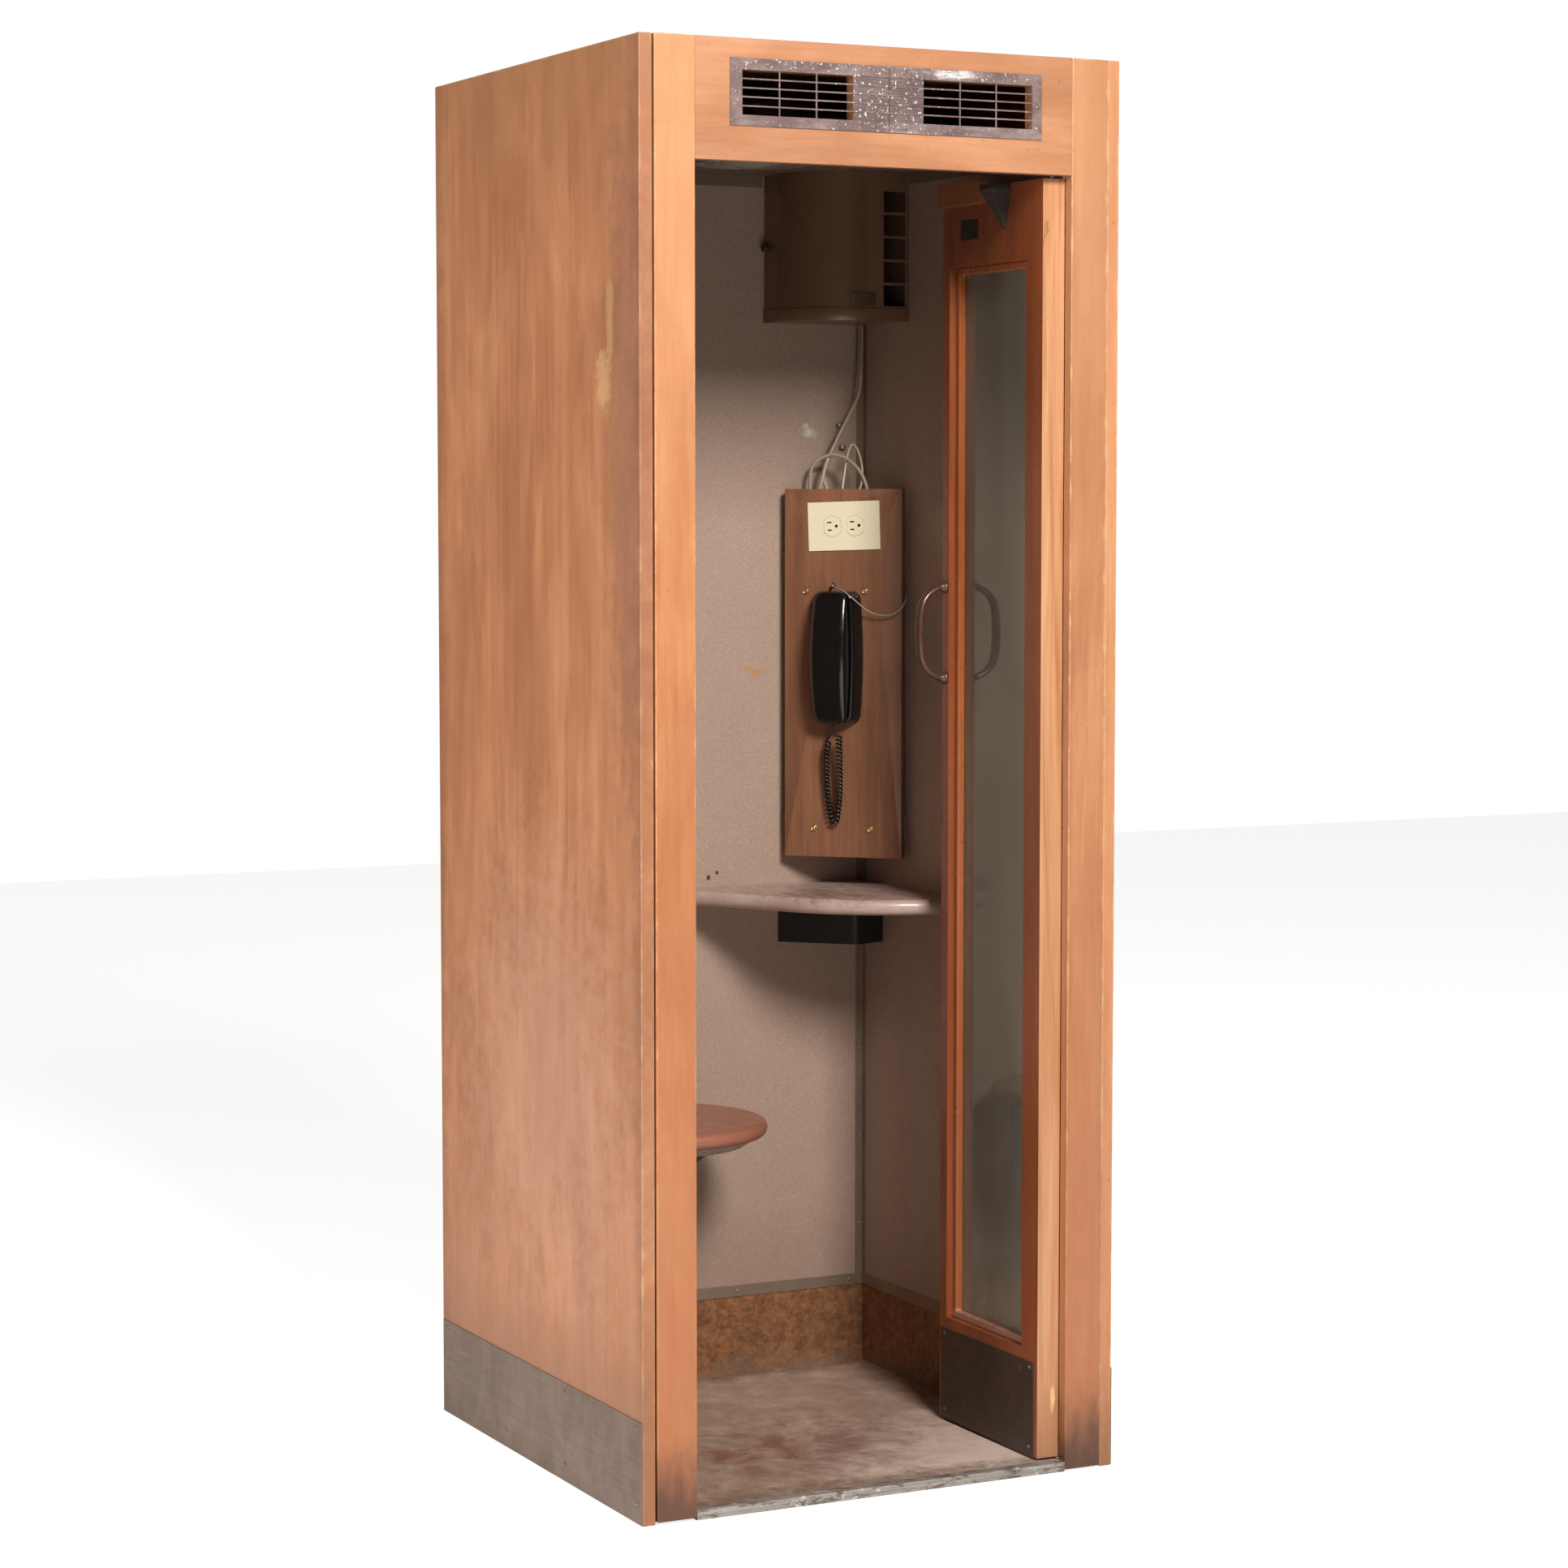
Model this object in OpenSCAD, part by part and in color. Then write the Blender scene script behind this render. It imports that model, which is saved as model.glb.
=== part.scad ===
// Indoor telephone booth with a bi-fold door.
// Millimetres. Origin at the middle of the base, +Z up, the doorway faces -Y.

/* [Cabinet] */
// Width over the side panels
booth_w = 779; // [740:1:820]
// Depth from the front frame to the back
booth_d = 779; // [740:1:820]
// Height of the cabinet
booth_h = 2108; // [2050:1:2200]
// Thickness of the side panels
side_t = 20; // [18:0.5:22]
// Thickness of the front stiles and header
frame_t = 19; // [17:0.5:19.5]
// Distance from the outer faces to the inner linings
wall_t = 39; // [36:0.5:40]
// Thickness of the wall linings
lining_t = 6; // [4:0.5:8]
// Height of the floor surface
floor_h = 15; // [12:0.5:18]
// Height of the ceiling
ceiling_h = 1988; // [1980:1:2000]

/* [Doorway] */
// Left edge of the doorway, from the left outer face
door_left = 84.5; // [80:0.5:90]
// Right edge of the doorway, from the left outer face
door_right = 696.5; // [690:0.5:697]
// Height of the header's bottom edge
header_h = 1937; // [1925:1:1950]
// Width of one door leaf
leaf_w = 303; // [290:1:304]
// Thickness of a door leaf
leaf_t = 37; // [34:0.5:38]
// Height of the top of the leaves
leaf_top = 1933.5; // [1900:0.5:1935]
// Height of the bottom of the leaves
leaf_bottom = 19; // [18:0.5:25]
// Width of a leaf's leading stile
wide_stile = 49; // [40:1:60]
// Width of a leaf's hinge stile
hinge_stile = 21; // [20:1:30]

/* [Shelf and seat] */
// Height of the top of the shelf
shelf_h = 830; // [800:1:900]
// Thickness of the shelf
shelf_t = 25; // [18:1:30]
// Height of the top of the seat
seat_h = 485; // [440:1:500]
// Radius of the seat
seat_r = 175; // [160:1:176]
// Thickness of the seat
seat_t = 25; // [20:1:30]

/* [Phone board] */
// Width of the phone board
board_w = 200; // [190:1:202]
// Thickness of the phone board
board_t = 18; // [15:1:18]
// Height of the bottom of the phone board
board_z0 = 878; // [860:1:900]
// Height of the top of the phone board
board_z1 = 1480; // [1470:1:1500]

/* [Fan housing] */
// Width of the fan housing along the back wall
fan_w = 186; // [180:1:200]
// Depth of the fan housing along the right wall
fan_d = 159; // [150:1:170]
// Height of the bottom of the fan housing
fan_h = 1750; // [1740:1:1765]
// Radius of the fan housing's front corner
fan_r = 110; // [90:1:120]

/* [Hidden] */

$fn = 48;
tiny = 0.01;

// What stands proud of the cabinet: vent registers in front, kick plates at the sides
register_proud = 2;
kick_t = 1.5;

// Planes measured from the left outer face and from the front face
left_x = -booth_w / 2;
front_y = (register_proud - booth_d) / 2;
function px(w) = left_x + w;
function py(d) = front_y + d;

inner_left = px(wall_t);
inner_right = px(booth_w - wall_t);
inner_back = py(booth_d - wall_t);
frame_back = py(frame_t);
groove = 2;
side_recess = 3.5;
back_t = 12;
roof_t = 12;
panel_left = px(side_t);
panel_right = px(booth_w - side_t);
panel_back = py(booth_d - back_t);
base_t = 12;

// Trim sections
strip_t = 1.5;
strip_w = 19;
strip_z = 145;
corner_leg = 14;
screw_r = 4;

// Colours
c_wood = [0.78, 0.48, 0.30];
c_wood_dark = [0.55, 0.27, 0.14];
c_lining = [0.60, 0.50, 0.46];
c_fibre = [0.55, 0.33, 0.20];
c_trim = [0.42, 0.36, 0.32];
c_plate = [0.30, 0.25, 0.22];
c_register = [0.38, 0.29, 0.28];
c_steel = [0.55, 0.55, 0.54];
c_ivory = [0.90, 0.85, 0.70];
c_black = [0.04, 0.04, 0.04];
c_brass = [0.75, 0.62, 0.35];
c_glass = [0.75, 0.85, 0.85, 0.4];

// ---------- general shapes ----------

// A box from its low and high corners
module block(lo, hi) {
  translate(lo)
    cube(hi - lo);
}

// A cylinder from a start point along a named direction
module rod(at, along, r, h) {
  translate(at)
    rotate(along == "x" ? [0, 90, 0] : along == "y" ? [-90, 0, 0] : [0, 0, 0])
      cylinder(r = r, h = h);
}

// A domed screw head that stands on a face; turn points +Z along the face's normal
module screw_head(at, turn, r = screw_r) {
  translate(at)
    rotate(turn)
      cylinder(r1 = r, r2 = r * 0.6, h = 1.6, $fn = 24);
}

// One point of a cubic curve
function bezier(a, b, c, d, t) =
  pow(1 - t, 3) * a + 3 * pow(1 - t, 2) * t * b + 3 * (1 - t) * t * t * c + t * t * t * d;
function curve(a, b, c, d, n) = [for (i = [1:n]) bezier(a, b, c, d, i / n)];

// Sweep of a round or oval section along a route of points
function unit(v) = v / norm(v);
function heading(p, i) =
  i == 0 ? unit(p[1] - p[0])
  : i == len(p) - 1 ? unit(p[i] - p[i - 1])
  : unit(unit(p[i + 1] - p[i]) + unit(p[i] - p[i - 1]));
function ring(c, t, up, rw, rh, n) =
  let (side = unit(cross(t, up)), top = cross(side, t))
  [for (k = [0:n - 1]) c + rw * cos(360 * k / n) * side + rh * sin(360 * k / n) * top];

module cord_tube(p, rw, rh, up, n = 8) {
  points = [for (i = [0:len(p) - 1]) each ring(p[i], heading(p, i), up, rw, rh, n)];
  last = (len(p) - 1) * n;
  sides = [for (i = [0:len(p) - 2], k = [0:n - 1])
    [i * n + k, i * n + (k + 1) % n, (i + 1) * n + (k + 1) % n, (i + 1) * n + k]];
  first_cap = [for (k = [n - 1:-1:0]) k];
  last_cap = [for (k = [0:n - 1]) last + k];
  polyhedron(points = points, faces = concat([first_cap], sides, [last_cap]), convexity = 10);
}

// Points of a smooth curve through a route, so that the rings follow round bends
function through(a, b, c, d, t) =
  0.5 * (2 * b + (c - a) * t + (2 * a - 5 * b + 4 * c - d) * t * t
    + (3 * b - a - 3 * c + d) * t * t * t);
function smooth(p, n) = concat([for (i = [0:len(p) - 2], s = [0:n - 1])
  through(p[max(i - 1, 0)], p[i], p[i + 1], p[min(i + 2, len(p) - 1)], s / n)],
  [p[len(p) - 1]]);

// ---------- base ----------

// The jamb pivot sits just behind the right stile
jamb_x = px(door_right) + 2;
jamb_y = frame_back + 4.5;
pin_r = 3;
bore_gap = 0.05;
bush_r = 4.4;

module base_board() {
  color(c_plate)
    difference() {
      block([panel_left, py(1.5), 0], [panel_right, panel_back, base_t]);
      block([panel_left - 1, py(1.5) - 1, -1], [px(door_left), frame_back, base_t + 1]);
      block([px(door_right), py(1.5) - 1, -1], [panel_right + 1, frame_back, base_t + 1]);
      rod([jamb_x, jamb_y, base_t - 7], "z", bush_r, 20);
    }
}

module floor_covering() {
  color([0.55, 0.40, 0.34])
    difference() {
      block([inner_left - lining_t, frame_back, base_t],
        [inner_right + lining_t, inner_back + lining_t, floor_h]);
      rod([jamb_x, jamb_y, base_t - 1], "z", bush_r, 20);
    }
}

// Aluminium angle over the front edge of the floor
module threshold_strip() {
  angle_t = 1.5;
  color([0.70, 0.68, 0.66]) {
    block([px(door_left), py(0), 0.5], [px(door_right), py(angle_t), floor_h]);
    block([px(door_left), py(angle_t) - tiny, base_t], [px(door_right), frame_back, floor_h]);
  }
}

// ---------- cabinet ----------

module side_panel(x) {
  block([x, py(side_recess), 0], [x + side_t, py(booth_d), booth_h]);
}

module left_side_panel() {
  color(c_wood)
    side_panel(left_x);
}

module right_side_panel() {
  color(c_wood)
    side_panel(panel_right);
}

module back_panel() {
  color(c_wood)
    block([panel_left, panel_back, 0], [panel_right, py(booth_d), booth_h]);
}

module roof_panel() {
  color(c_wood)
    block([panel_left, frame_back, booth_h - roof_t], [panel_right, panel_back, booth_h]);
}

module left_stile() {
  color(c_wood)
    block([panel_left + groove, py(0), 4], [px(door_left), frame_back, booth_h]);
}

module right_stile() {
  color(c_wood)
    block([px(door_right), py(0), 3], [panel_right - groove, frame_back, booth_h]);
}

// Air openings in the header, one behind each vent register
vent_z0 = 2001;
vent_z1 = 2064;
vents = [[157, 333], [447, 627]];

module header() {
  color(c_wood)
    difference() {
      block([px(door_left), py(0), header_h], [px(door_right), frame_back, booth_h]);
      for (v = vents)
        block([px(v[0]), py(-1), vent_z0], [px(v[1]), frame_back + 1, vent_z1]);
    }
}

// Strip behind the left stile that the lead leaf closes against
jamb_face = px(door_left) + 4.5;
module left_jamb_strip() {
  color(c_wood_dark)
    block([inner_left, frame_back, floor_h], [jamb_face, frame_back + 40, ceiling_h]);
}

// Battens between the outer panels and the linings, and the cleats behind the phone board
batten_w = 40;
module wall_battens() {
  side_in = inner_left - lining_t;
  y0 = frame_back;
  y1 = inner_back + lining_t;
  color([0.75, 0.62, 0.42]) {
    for (z = [40, 1000, ceiling_h - batten_w]) {
      block([panel_left, y0, z], [side_in, y1, z + batten_w]);
      block([-side_in, y0, z], [panel_right, y1, z + batten_w]);
      block([side_in + 1, y1, z], [-side_in - 1, panel_back, z + batten_w]);
    }
    for (z = [board_z0 + 30, board_z1 - 140])
      board_cleat(z);
  }
}

// Cleat that fills the corner behind the phone board, clear of the corner trim
module board_cleat(z) {
  gap = 1;
  back_mid = (board_t + gap) / sqrt(2);
  a = inner_right - gap;
  b = inner_back - gap;
  line = board_x + board_y + 2 * back_mid;
  notch = corner_leg + 1;
  translate([0, 0, z])
    linear_extrude(height = 40)
      polygon([[line - b, b], [a - notch, b], [a - notch, b - notch], [a, b - notch],
        [a, line - a]]);
}

module wall_linings() {
  gap = 0.05;
  color(c_lining) {
    for (x = [inner_left - lining_t, inner_right])
      block([x, frame_back, strip_z + 9], [x + lining_t, inner_back + lining_t, ceiling_h]);
    block([inner_left + gap, inner_back, strip_z + 9],
      [inner_right - gap, inner_back + lining_t, ceiling_h]);
  }
}

// Fan centre, in the back-right corner
fan_x = inner_right - 88;
fan_y = inner_back - 82;
light_x = px(440);
light_y = py(545);
can_r = 78;

module ceiling_panel() {
  color(c_lining)
    difference() {
      block([inner_left - lining_t, frame_back, ceiling_h],
        [inner_right + lining_t, inner_back + lining_t, ceiling_h + 6]);
      rod([light_x, light_y, ceiling_h - 1], "z", can_r, 8);
      rod([fan_x, fan_y, ceiling_h - 1], "z", 50, 8);
    }
}

// Corner angles, strips over the baseboard joint and strips under the ceiling
module metal_trims() {
  gap = 0.05;
  top = ceiling_h - strip_w;
  front = frame_back + 60;
  color(c_trim) {
    for (s = [-1, 1]) {
      x = s > 0 ? inner_right : inner_left;
      x0 = min(x, x - s * strip_t);
      x1 = max(x, x - s * strip_t);
      corner_angle(x, s, strip_z + strip_w + gap, s > 0 ? fan_h - 1 : top - gap);
      block([x0, front, strip_z], [x1, inner_back, strip_z + strip_w]);
      block([x0, front, top],
        [x1, s > 0 ? inner_back - fan_d - 1 : inner_back, ceiling_h]);
    }
    block([inner_left + strip_t + gap, inner_back - strip_t, strip_z],
      [inner_right - strip_t - gap, inner_back, strip_z + strip_w]);
    block([inner_left + strip_t + gap, inner_back - strip_t, top],
      [inner_right - fan_w - 1, inner_back, ceiling_h]);
  }
}

module corner_angle(x, s, z0, z1) {
  translate([x, inner_back, z0])
    linear_extrude(height = z1 - z0)
      polygon([[0, 0], [-s * corner_leg, 0], [-s * corner_leg, -strip_t],
        [-s * strip_t, -strip_t], [-s * strip_t, -corner_leg], [0, -corner_leg]]);
}

module baseboards() {
  color(c_fibre) {
    for (x = [inner_left - lining_t, inner_right])
      block([x, frame_back, floor_h], [x + lining_t, inner_back + lining_t, strip_z + 9]);
    block([inner_left, inner_back, floor_h],
      [inner_right, inner_back + lining_t, strip_z + 9]);
  }
}

kick_h = 150;
module outer_kick_plates() {
  color(c_plate)
    for (x = [left_x - kick_t, left_x + booth_w])
      block([x, py(side_recess), 1], [x + kick_t, py(booth_d) - 3, kick_h]);
}

// Screws with the same round head: kick plates, inner trims and vent registers
module round_head_screws() {
  side_in = strip_t;
  color(c_steel) {
    for (d = [20, 280, 510, 757], z = [28, 138]) {
      screw_head([left_x - kick_t, py(d), z], [0, -90, 0]);
      screw_head([-left_x + kick_t, py(d), z], [0, 90, 0]);
    }
    for (w = [130, 320, 505, 715])
      screw_head([px(w), inner_back - side_in, strip_z + strip_w / 2], [90, 0, 0], 3);
    for (w = [130, 320, 492])
      screw_head([px(w), inner_back - side_in, ceiling_h - 10], [90, 0, 0], 3);
    for (d = [420, 680]) {
      screw_head([inner_right - side_in, py(d), strip_z + strip_w / 2], [0, -90, 0], 3);
      screw_head([inner_left + side_in, py(d), strip_z + strip_w / 2], [0, 90, 0], 3);
    }
    for (z = [250, 545])
      screw_head([inner_right - 7.5, inner_back - side_in, z], [90, 0, 0], 3);
    for (w = [147.5, 634.5])
      screw_head([px(w), py(-register_proud), 2033], [90, 0, 0], 3);
    for (w = [366, 416], z = [1993, 2073])
      screw_head([px(w), py(-register_proud), z], [90, 0, 0], 3);
  }
}

// ---------- vent registers ----------

register_z0 = 1986;
register_z1 = 2080;
register_lines = [[138.5, 390.5, 157, 333], [391.5, 643.5, 447, 627]];

// A plate with one opening and thin bars; the bars run on over the blank middle
module vent_registers() {
  bar = 2;
  color(c_register)
    for (r = register_lines) {
      bar_end_left = r[2] > 400 ? r[0] + tiny : r[2];
      bar_end_right = r[2] > 400 ? r[3] : r[1] - tiny;
      difference() {
        block([px(r[0]), py(-register_proud), register_z0], [px(r[1]), py(0), register_z1]);
        block([px(r[2]), py(-5), vent_z0], [px(r[3]), py(5), vent_z1]);
        block([px(bar_end_left), py(-register_proud) - 1, vent_z0],
          [px(bar_end_right), py(-1), vent_z1]);
      }
      for (i = [1:4])
        block([px(bar_end_left) - 0.5, py(-register_proud), vent_z0 + i * 12.6 - bar / 2],
          [px(bar_end_right) + 0.5, py(-tiny), vent_z0 + i * 12.6 + bar / 2]);
      for (i = [1, 2]) {
        w = r[2] + (r[3] - r[2]) * i / 3;
        block([px(w) - 1, py(-register_proud) + 0.4, vent_z0 - 1],
          [px(w) + 1, py(-tiny), vent_z1 + 1]);
      }
    }
}

// ---------- door hardware on the cabinet ----------

// Hinge line between the leaves, with the leaves folded beside the right wall
fold_gap = 1.5;
lead_x0 = px(660);
lead_x1 = lead_x0 + leaf_t;
rear_x0 = lead_x1 + fold_gap;
rear_x1 = rear_x0 + leaf_t;
leaf_y0 = py(21);
leaf_y1 = leaf_y0 + leaf_w;
hinge_x = lead_x1 + fold_gap / 2;
hinge_y = leaf_y1 + 1.5;

// Guide roller on the lead leaf's free end
roller_r = 6;
guide_x = lead_x1 - 12;
guide_y = leaf_y0 + 14.5;
track_z = 1946;
roller_z0 = 1948;
roller_z1 = 1956;

// Channel that guides the roller, hung from a flange on the back of the header
module door_track() {
  mid_y = guide_y + 2.5;
  inside = 9.5;
  wall = 2;
  flange = frame_back;
  color(c_trim)
    difference() {
      union() {
        block([px(door_left), flange, 1958], [jamb_x - 7, mid_y + inside + wall, 1960]);
        block([px(door_left), flange, 1946], [jamb_x - 7, flange + wall, ceiling_h]);
        block([px(door_left), mid_y - inside - wall, track_z],
          [jamb_x - 7, mid_y - inside, 1959]);
        block([px(door_left), mid_y + inside, track_z],
          [jamb_x - 7, mid_y + inside + wall, 1959]);
      }
      block([px(door_left) - 1, frame_back, 1900], [jamb_face + 0.5, frame_back + 41, 1995]);
    }
}

// Top bracket on the back of the right stile, and the bush let into the floor
module pivot_brackets() {
  color(c_steel) {
    difference() {
      union() {
        block([jamb_x - bush_r, frame_back, 1940], [jamb_x + 30, jamb_y + bush_r, 1944]);
        block([jamb_x - bush_r, frame_back, 1940], [jamb_x + 30, frame_back + 1, 1984]);
      }
      rod([jamb_x, jamb_y, 1930], "z", pin_r + bore_gap, 60);
    }
    difference() {
      rod([jamb_x, jamb_y, base_t - 7], "z", bush_r, 10);
      rod([jamb_x, jamb_y, 0], "z", pin_r + bore_gap, 60);
    }
  }
}

// ---------- ceiling light ----------

module light_housing() {
  color(c_trim)
    difference() {
      union() {
        rod([light_x, light_y, ceiling_h - 1.5], "z", can_r + 12, 1.5);
        rod([light_x, light_y, ceiling_h - 1.5], "z", can_r, 92);
      }
      rod([light_x, light_y, ceiling_h - 3], "z", can_r - 2, 90);
    }
}

module light_bulb() {
  color([0.95, 0.94, 0.90]) {
    translate([light_x, light_y, ceiling_h + 42])
      sphere(r = 27);
    rod([light_x, light_y, ceiling_h + 60], "z", 13, 27);
  }
}

// Shallow glass bowl with ribs, held at the rim of the housing
module light_lens() {
  rim = can_r - 4;
  drop = 14;
  bowl = (rim * rim + drop * drop) / (2 * drop);
  color(c_glass)
    translate([light_x, light_y, ceiling_h + 6])
      intersection() {
        difference() {
          translate([0, 0, bowl - drop])
            sphere(r = bowl, $fn = 96);
          translate([0, 0, bowl - drop])
            sphere(r = bowl - 4, $fn = 96);
        }
        translate([0, 0, -drop - 1])
          cylinder(r = rim, h = drop + 1);
      }
}

// ---------- shelf ----------

shelf_end = [px(372), inner_back - 0.5];
shelf_mid = [px(488), py(548)];
shelf_right = [inner_right - 0.5, py(390)];

// Corner shelf, notched round the corner angle
module shelf() {
  right = inner_right - 0.5;
  back = inner_back - 0.5;
  slot = strip_t;
  notch = corner_leg + 0.5;
  color([0.66, 0.55, 0.50])
    translate([0, 0, shelf_h - shelf_t])
      linear_extrude(height = shelf_t)
        polygon(concat([shelf_end],
          curve(shelf_end, [px(400), py(680)], [px(458), py(611)], shelf_mid, 9),
          curve(shelf_mid, [px(523), py(470)], [px(610), py(393)], shelf_right, 12),
          [[right, back - notch], [right - slot, back - notch], [right - slot, back - slot],
            [right - notch, back - slot], [right - notch, back]]));
}

// Box bracket in the corner below the shelf
module shelf_support() {
  drop = 72;
  notch = corner_leg + 2;
  color(c_black)
    translate([0, 0, shelf_h - shelf_t - drop])
      linear_extrude(height = drop)
        difference() {
          hull() {
            translate([px(676) + 4, py(644) + 12])
              circle(r = 12, $fn = 32);
            translate([inner_right - 9, py(670)])
              circle(r = 8, $fn = 32);
            polygon([[px(581), inner_back - 0.5], [inner_right - 0.5, inner_back - 0.5],
              [inner_right - 0.5, py(690)]]);
          }
          translate([inner_right - notch, inner_back - notch])
            square(notch + 5);
        }
}

// ---------- seat ----------

seat_x = px(279);
seat_y = py(562);

module seat_top() {
  edge = 11;
  color([0.62, 0.36, 0.27])
    translate([seat_x, seat_y, seat_h - seat_t])
      rotate_extrude()
        union() {
          square([seat_r - edge, seat_t]);
          square([seat_r - 4, seat_t - edge]);
          translate([seat_r - edge, seat_t - edge])
            intersection() {
              circle(r = edge);
              square(edge);
            }
          translate([seat_r - edge, 0])
            square([edge, seat_t - edge]);
        }
}

// Pressed pan under the seat, smaller towards its bottom, on an arm from the back wall
module seat_support() {
  pan_h = 14;
  z = seat_h - seat_t - pan_h;
  wall_y = inner_back - 5;
  color([0.45, 0.44, 0.42]) {
    translate([seat_x, seat_y, z])
      difference() {
        cylinder(r1 = 140, r2 = 160, h = pan_h, $fn = 96);
        translate([0, 0, 2])
          cylinder(r1 = 138, r2 = 158, h = pan_h, $fn = 96);
      }
    block([seat_x - 60, wall_y, z - 150], [seat_x + 60, inner_back, z]);
    block([seat_x - 60, seat_y - 90, z - 4], [seat_x + 60, wall_y + tiny, z + tiny]);
    for (x = [seat_x - 60, seat_x + 56])
      translate([x, 0, 0])
        rotate([90, 0, 90])
          linear_extrude(height = 4)
            polygon([[seat_y - 80, z - 4 + tiny], [wall_y + tiny, z - 4 + tiny],
              [wall_y + tiny, z - 140]]);
  }
}

// ---------- fan ----------

// Plan of the housing: flat sides and one large round corner
module fan_plan(inset = 0) {
  x0 = inner_right - fan_w + inset;
  y0 = inner_back - fan_d + inset;
  r = fan_r - inset;
  x1 = inner_right - 0.3 - inset;
  y1 = inner_back - 0.3 - inset;
  union() {
    intersection() {
      translate([x0 + r, y0 + r])
        circle(r = r, $fn = 96);
      translate([x0, y0])
        square([r + 1, r + 1]);
    }
    translate([x0 + r, y0])
      square([x1 - x0 - r, y1 - y0]);
    translate([x0, y0 + r])
      square([x1 - x0, y1 - y0 - r]);
  }
}

louvre_w0 = 694;
louvre_w1 = 733;
louvre_pitch = 37.5;

module fan_housing() {
  wall = 1.5;
  color([0.36, 0.30, 0.25])
    difference() {
      union() {
        translate([0, 0, fan_h])
          linear_extrude(height = ceiling_h - fan_h)
            fan_plan(2);
        translate([0, 0, fan_h])
          linear_extrude(height = 20)
            fan_plan(0);
      }
      translate([0, 0, fan_h + 2])
        linear_extrude(height = ceiling_h - fan_h)
          fan_plan(2 + wall);
      for (i = [0:4])
        block([px(louvre_w0), inner_back - fan_d - 1, fan_h + 24 + i * louvre_pitch],
          [px(louvre_w1), inner_back - fan_d + 10, fan_h + 24 + i * louvre_pitch + 33]);
      rod([inner_right - fan_w - 1, inner_back - 18, 1871], "x", pin_r + bore_gap, 8);
    }
}

module fan_motor() {
  color(c_steel) {
    rod([fan_x, fan_y, fan_h + 2], "z", 34, 70);
    rod([fan_x, fan_y, fan_h + 70], "z", 4, 100);
  }
}

impeller_z = fan_h + 90;
impeller_h = 70;
module fan_impeller() {
  outer = 58;
  blades = 24;
  color(c_trim)
    translate([fan_x, fan_y, impeller_z])
      difference() {
        union() {
          cylinder(r = outer, h = 2);
          cylinder(r = 12, h = 20);
          for (k = [0:blades - 1])
            rotate(k * 360 / blades)
              translate([outer - 14, -0.8, 1])
                rotate(30)
                  cube([13, 1.6, impeller_h - 2]);
          translate([0, 0, impeller_h - 3])
            difference() {
              cylinder(r = outer, h = 3);
              translate([0, 0, -1])
                cylinder(r = outer - 15, h = 5);
            }
        }
        translate([0, 0, -1])
          cylinder(r = 4 + bore_gap, h = impeller_h + 2);
      }
}

module fan_knob() {
  shaft_x = inner_right - fan_w - 2;
  color(c_black)
    translate([0, inner_back - 18, 1871])
      rotate([0, 90, 0]) {
        translate([0, 0, shaft_x + 10])
          rotate([0, 180, 0])
            cylinder(r = pin_r, h = 9);
        translate([0, 0, shaft_x - 8])
          difference() {
            cylinder(r = 9, h = 9.2);
            translate([6, -20, -1])
              cube([10, 40, 5]);
          }
      }
}

// ---------- phone board ----------

// Middle of the board's front face; the board stands at 45 degrees across the corner
board_x = px(652.7);
board_y = py(645.3);

// Local frame: +X to the right along the board, -Y out of its face
module on_board() {
  translate([board_x, board_y, 0])
    rotate([0, 0, -45])
      children();
}

outlet_z = 1420;
outlet_u = 2;
outlet_tilt = -1.8;

module phone_board() {
  color([0.45, 0.28, 0.19])
    on_board()
      difference() {
        block([-board_w / 2, 0, board_z0], [board_w / 2, board_t, board_z1]);
        block([outlet_u - 48, -1, outlet_z - 28], [outlet_u + 48, board_t + 1, outlet_z + 28]);
        rod([-17, -1, 1322], "y", 4, board_t + 2);
      }
}

module board_screws() {
  color(c_brass)
    on_board()
      for (s = [[-64, 1313], [37, 1314], [-50, 925], [47, 925]])
        translate([s[0], 0, s[1]])
          rotate([90, 0, 0]) {
            cylinder(r1 = 6, r2 = 3.6, h = 2.2);
            cylinder(r = 3, h = 3);
          }
}

module outlet_box() {
  color(c_steel)
    on_board()
      difference() {
        block([outlet_u - 47, 0.5, outlet_z - 27], [outlet_u + 47, 50, outlet_z + 27]);
        block([outlet_u - 45, 0, outlet_z - 25], [outlet_u + 45, 48, outlet_z + 25]);
      }
}

// Local frame of the outlet plate, which hangs a little askew
module on_outlet() {
  on_board()
    translate([outlet_u, 0, outlet_z])
      rotate([0, outlet_tilt, 0])
        children();
}

receptacle_gap = 19.3;
module face_plan(r) {
  intersection() {
    circle(r = r);
    square([2 * r * 0.86, 2 * r], center = true);
  }
}

module outlet_receptacle() {
  color(c_ivory)
    on_outlet()
      difference() {
        union() {
          block([-40, 0.6, -15], [40, 24, 15]);
          for (s = [-1, 1])
            translate([s * receptacle_gap, 0.8, 0])
              rotate([90, 0, 0])
                linear_extrude(height = 3.6)
                  face_plan(16.6);
        }
        for (s = [-1, 1])
          translate([s * receptacle_gap, -4, 0]) {
            block([-9, 0, 5.2], [-1.5, 16, 7.4]);
            block([-8, 0, -7.4], [-1.5, 16, -5.2]);
            rod([6.6, 0, 0], "y", 2.5, 16);
          }
      }
}

module outlet_plate() {
  color(c_ivory)
    on_outlet() {
      difference() {
        block([-61, -2, -39.5], [61, -0.2, 39.5]);
        for (s = [-1, 1])
          translate([s * receptacle_gap, 1, 0])
            rotate([90, 0, 0])
              linear_extrude(height = 6)
                face_plan(17);
      }
      rod([0, -2.6, 0], "y", 2.6, 1);
    }
}

// ---------- telephone ----------

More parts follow.
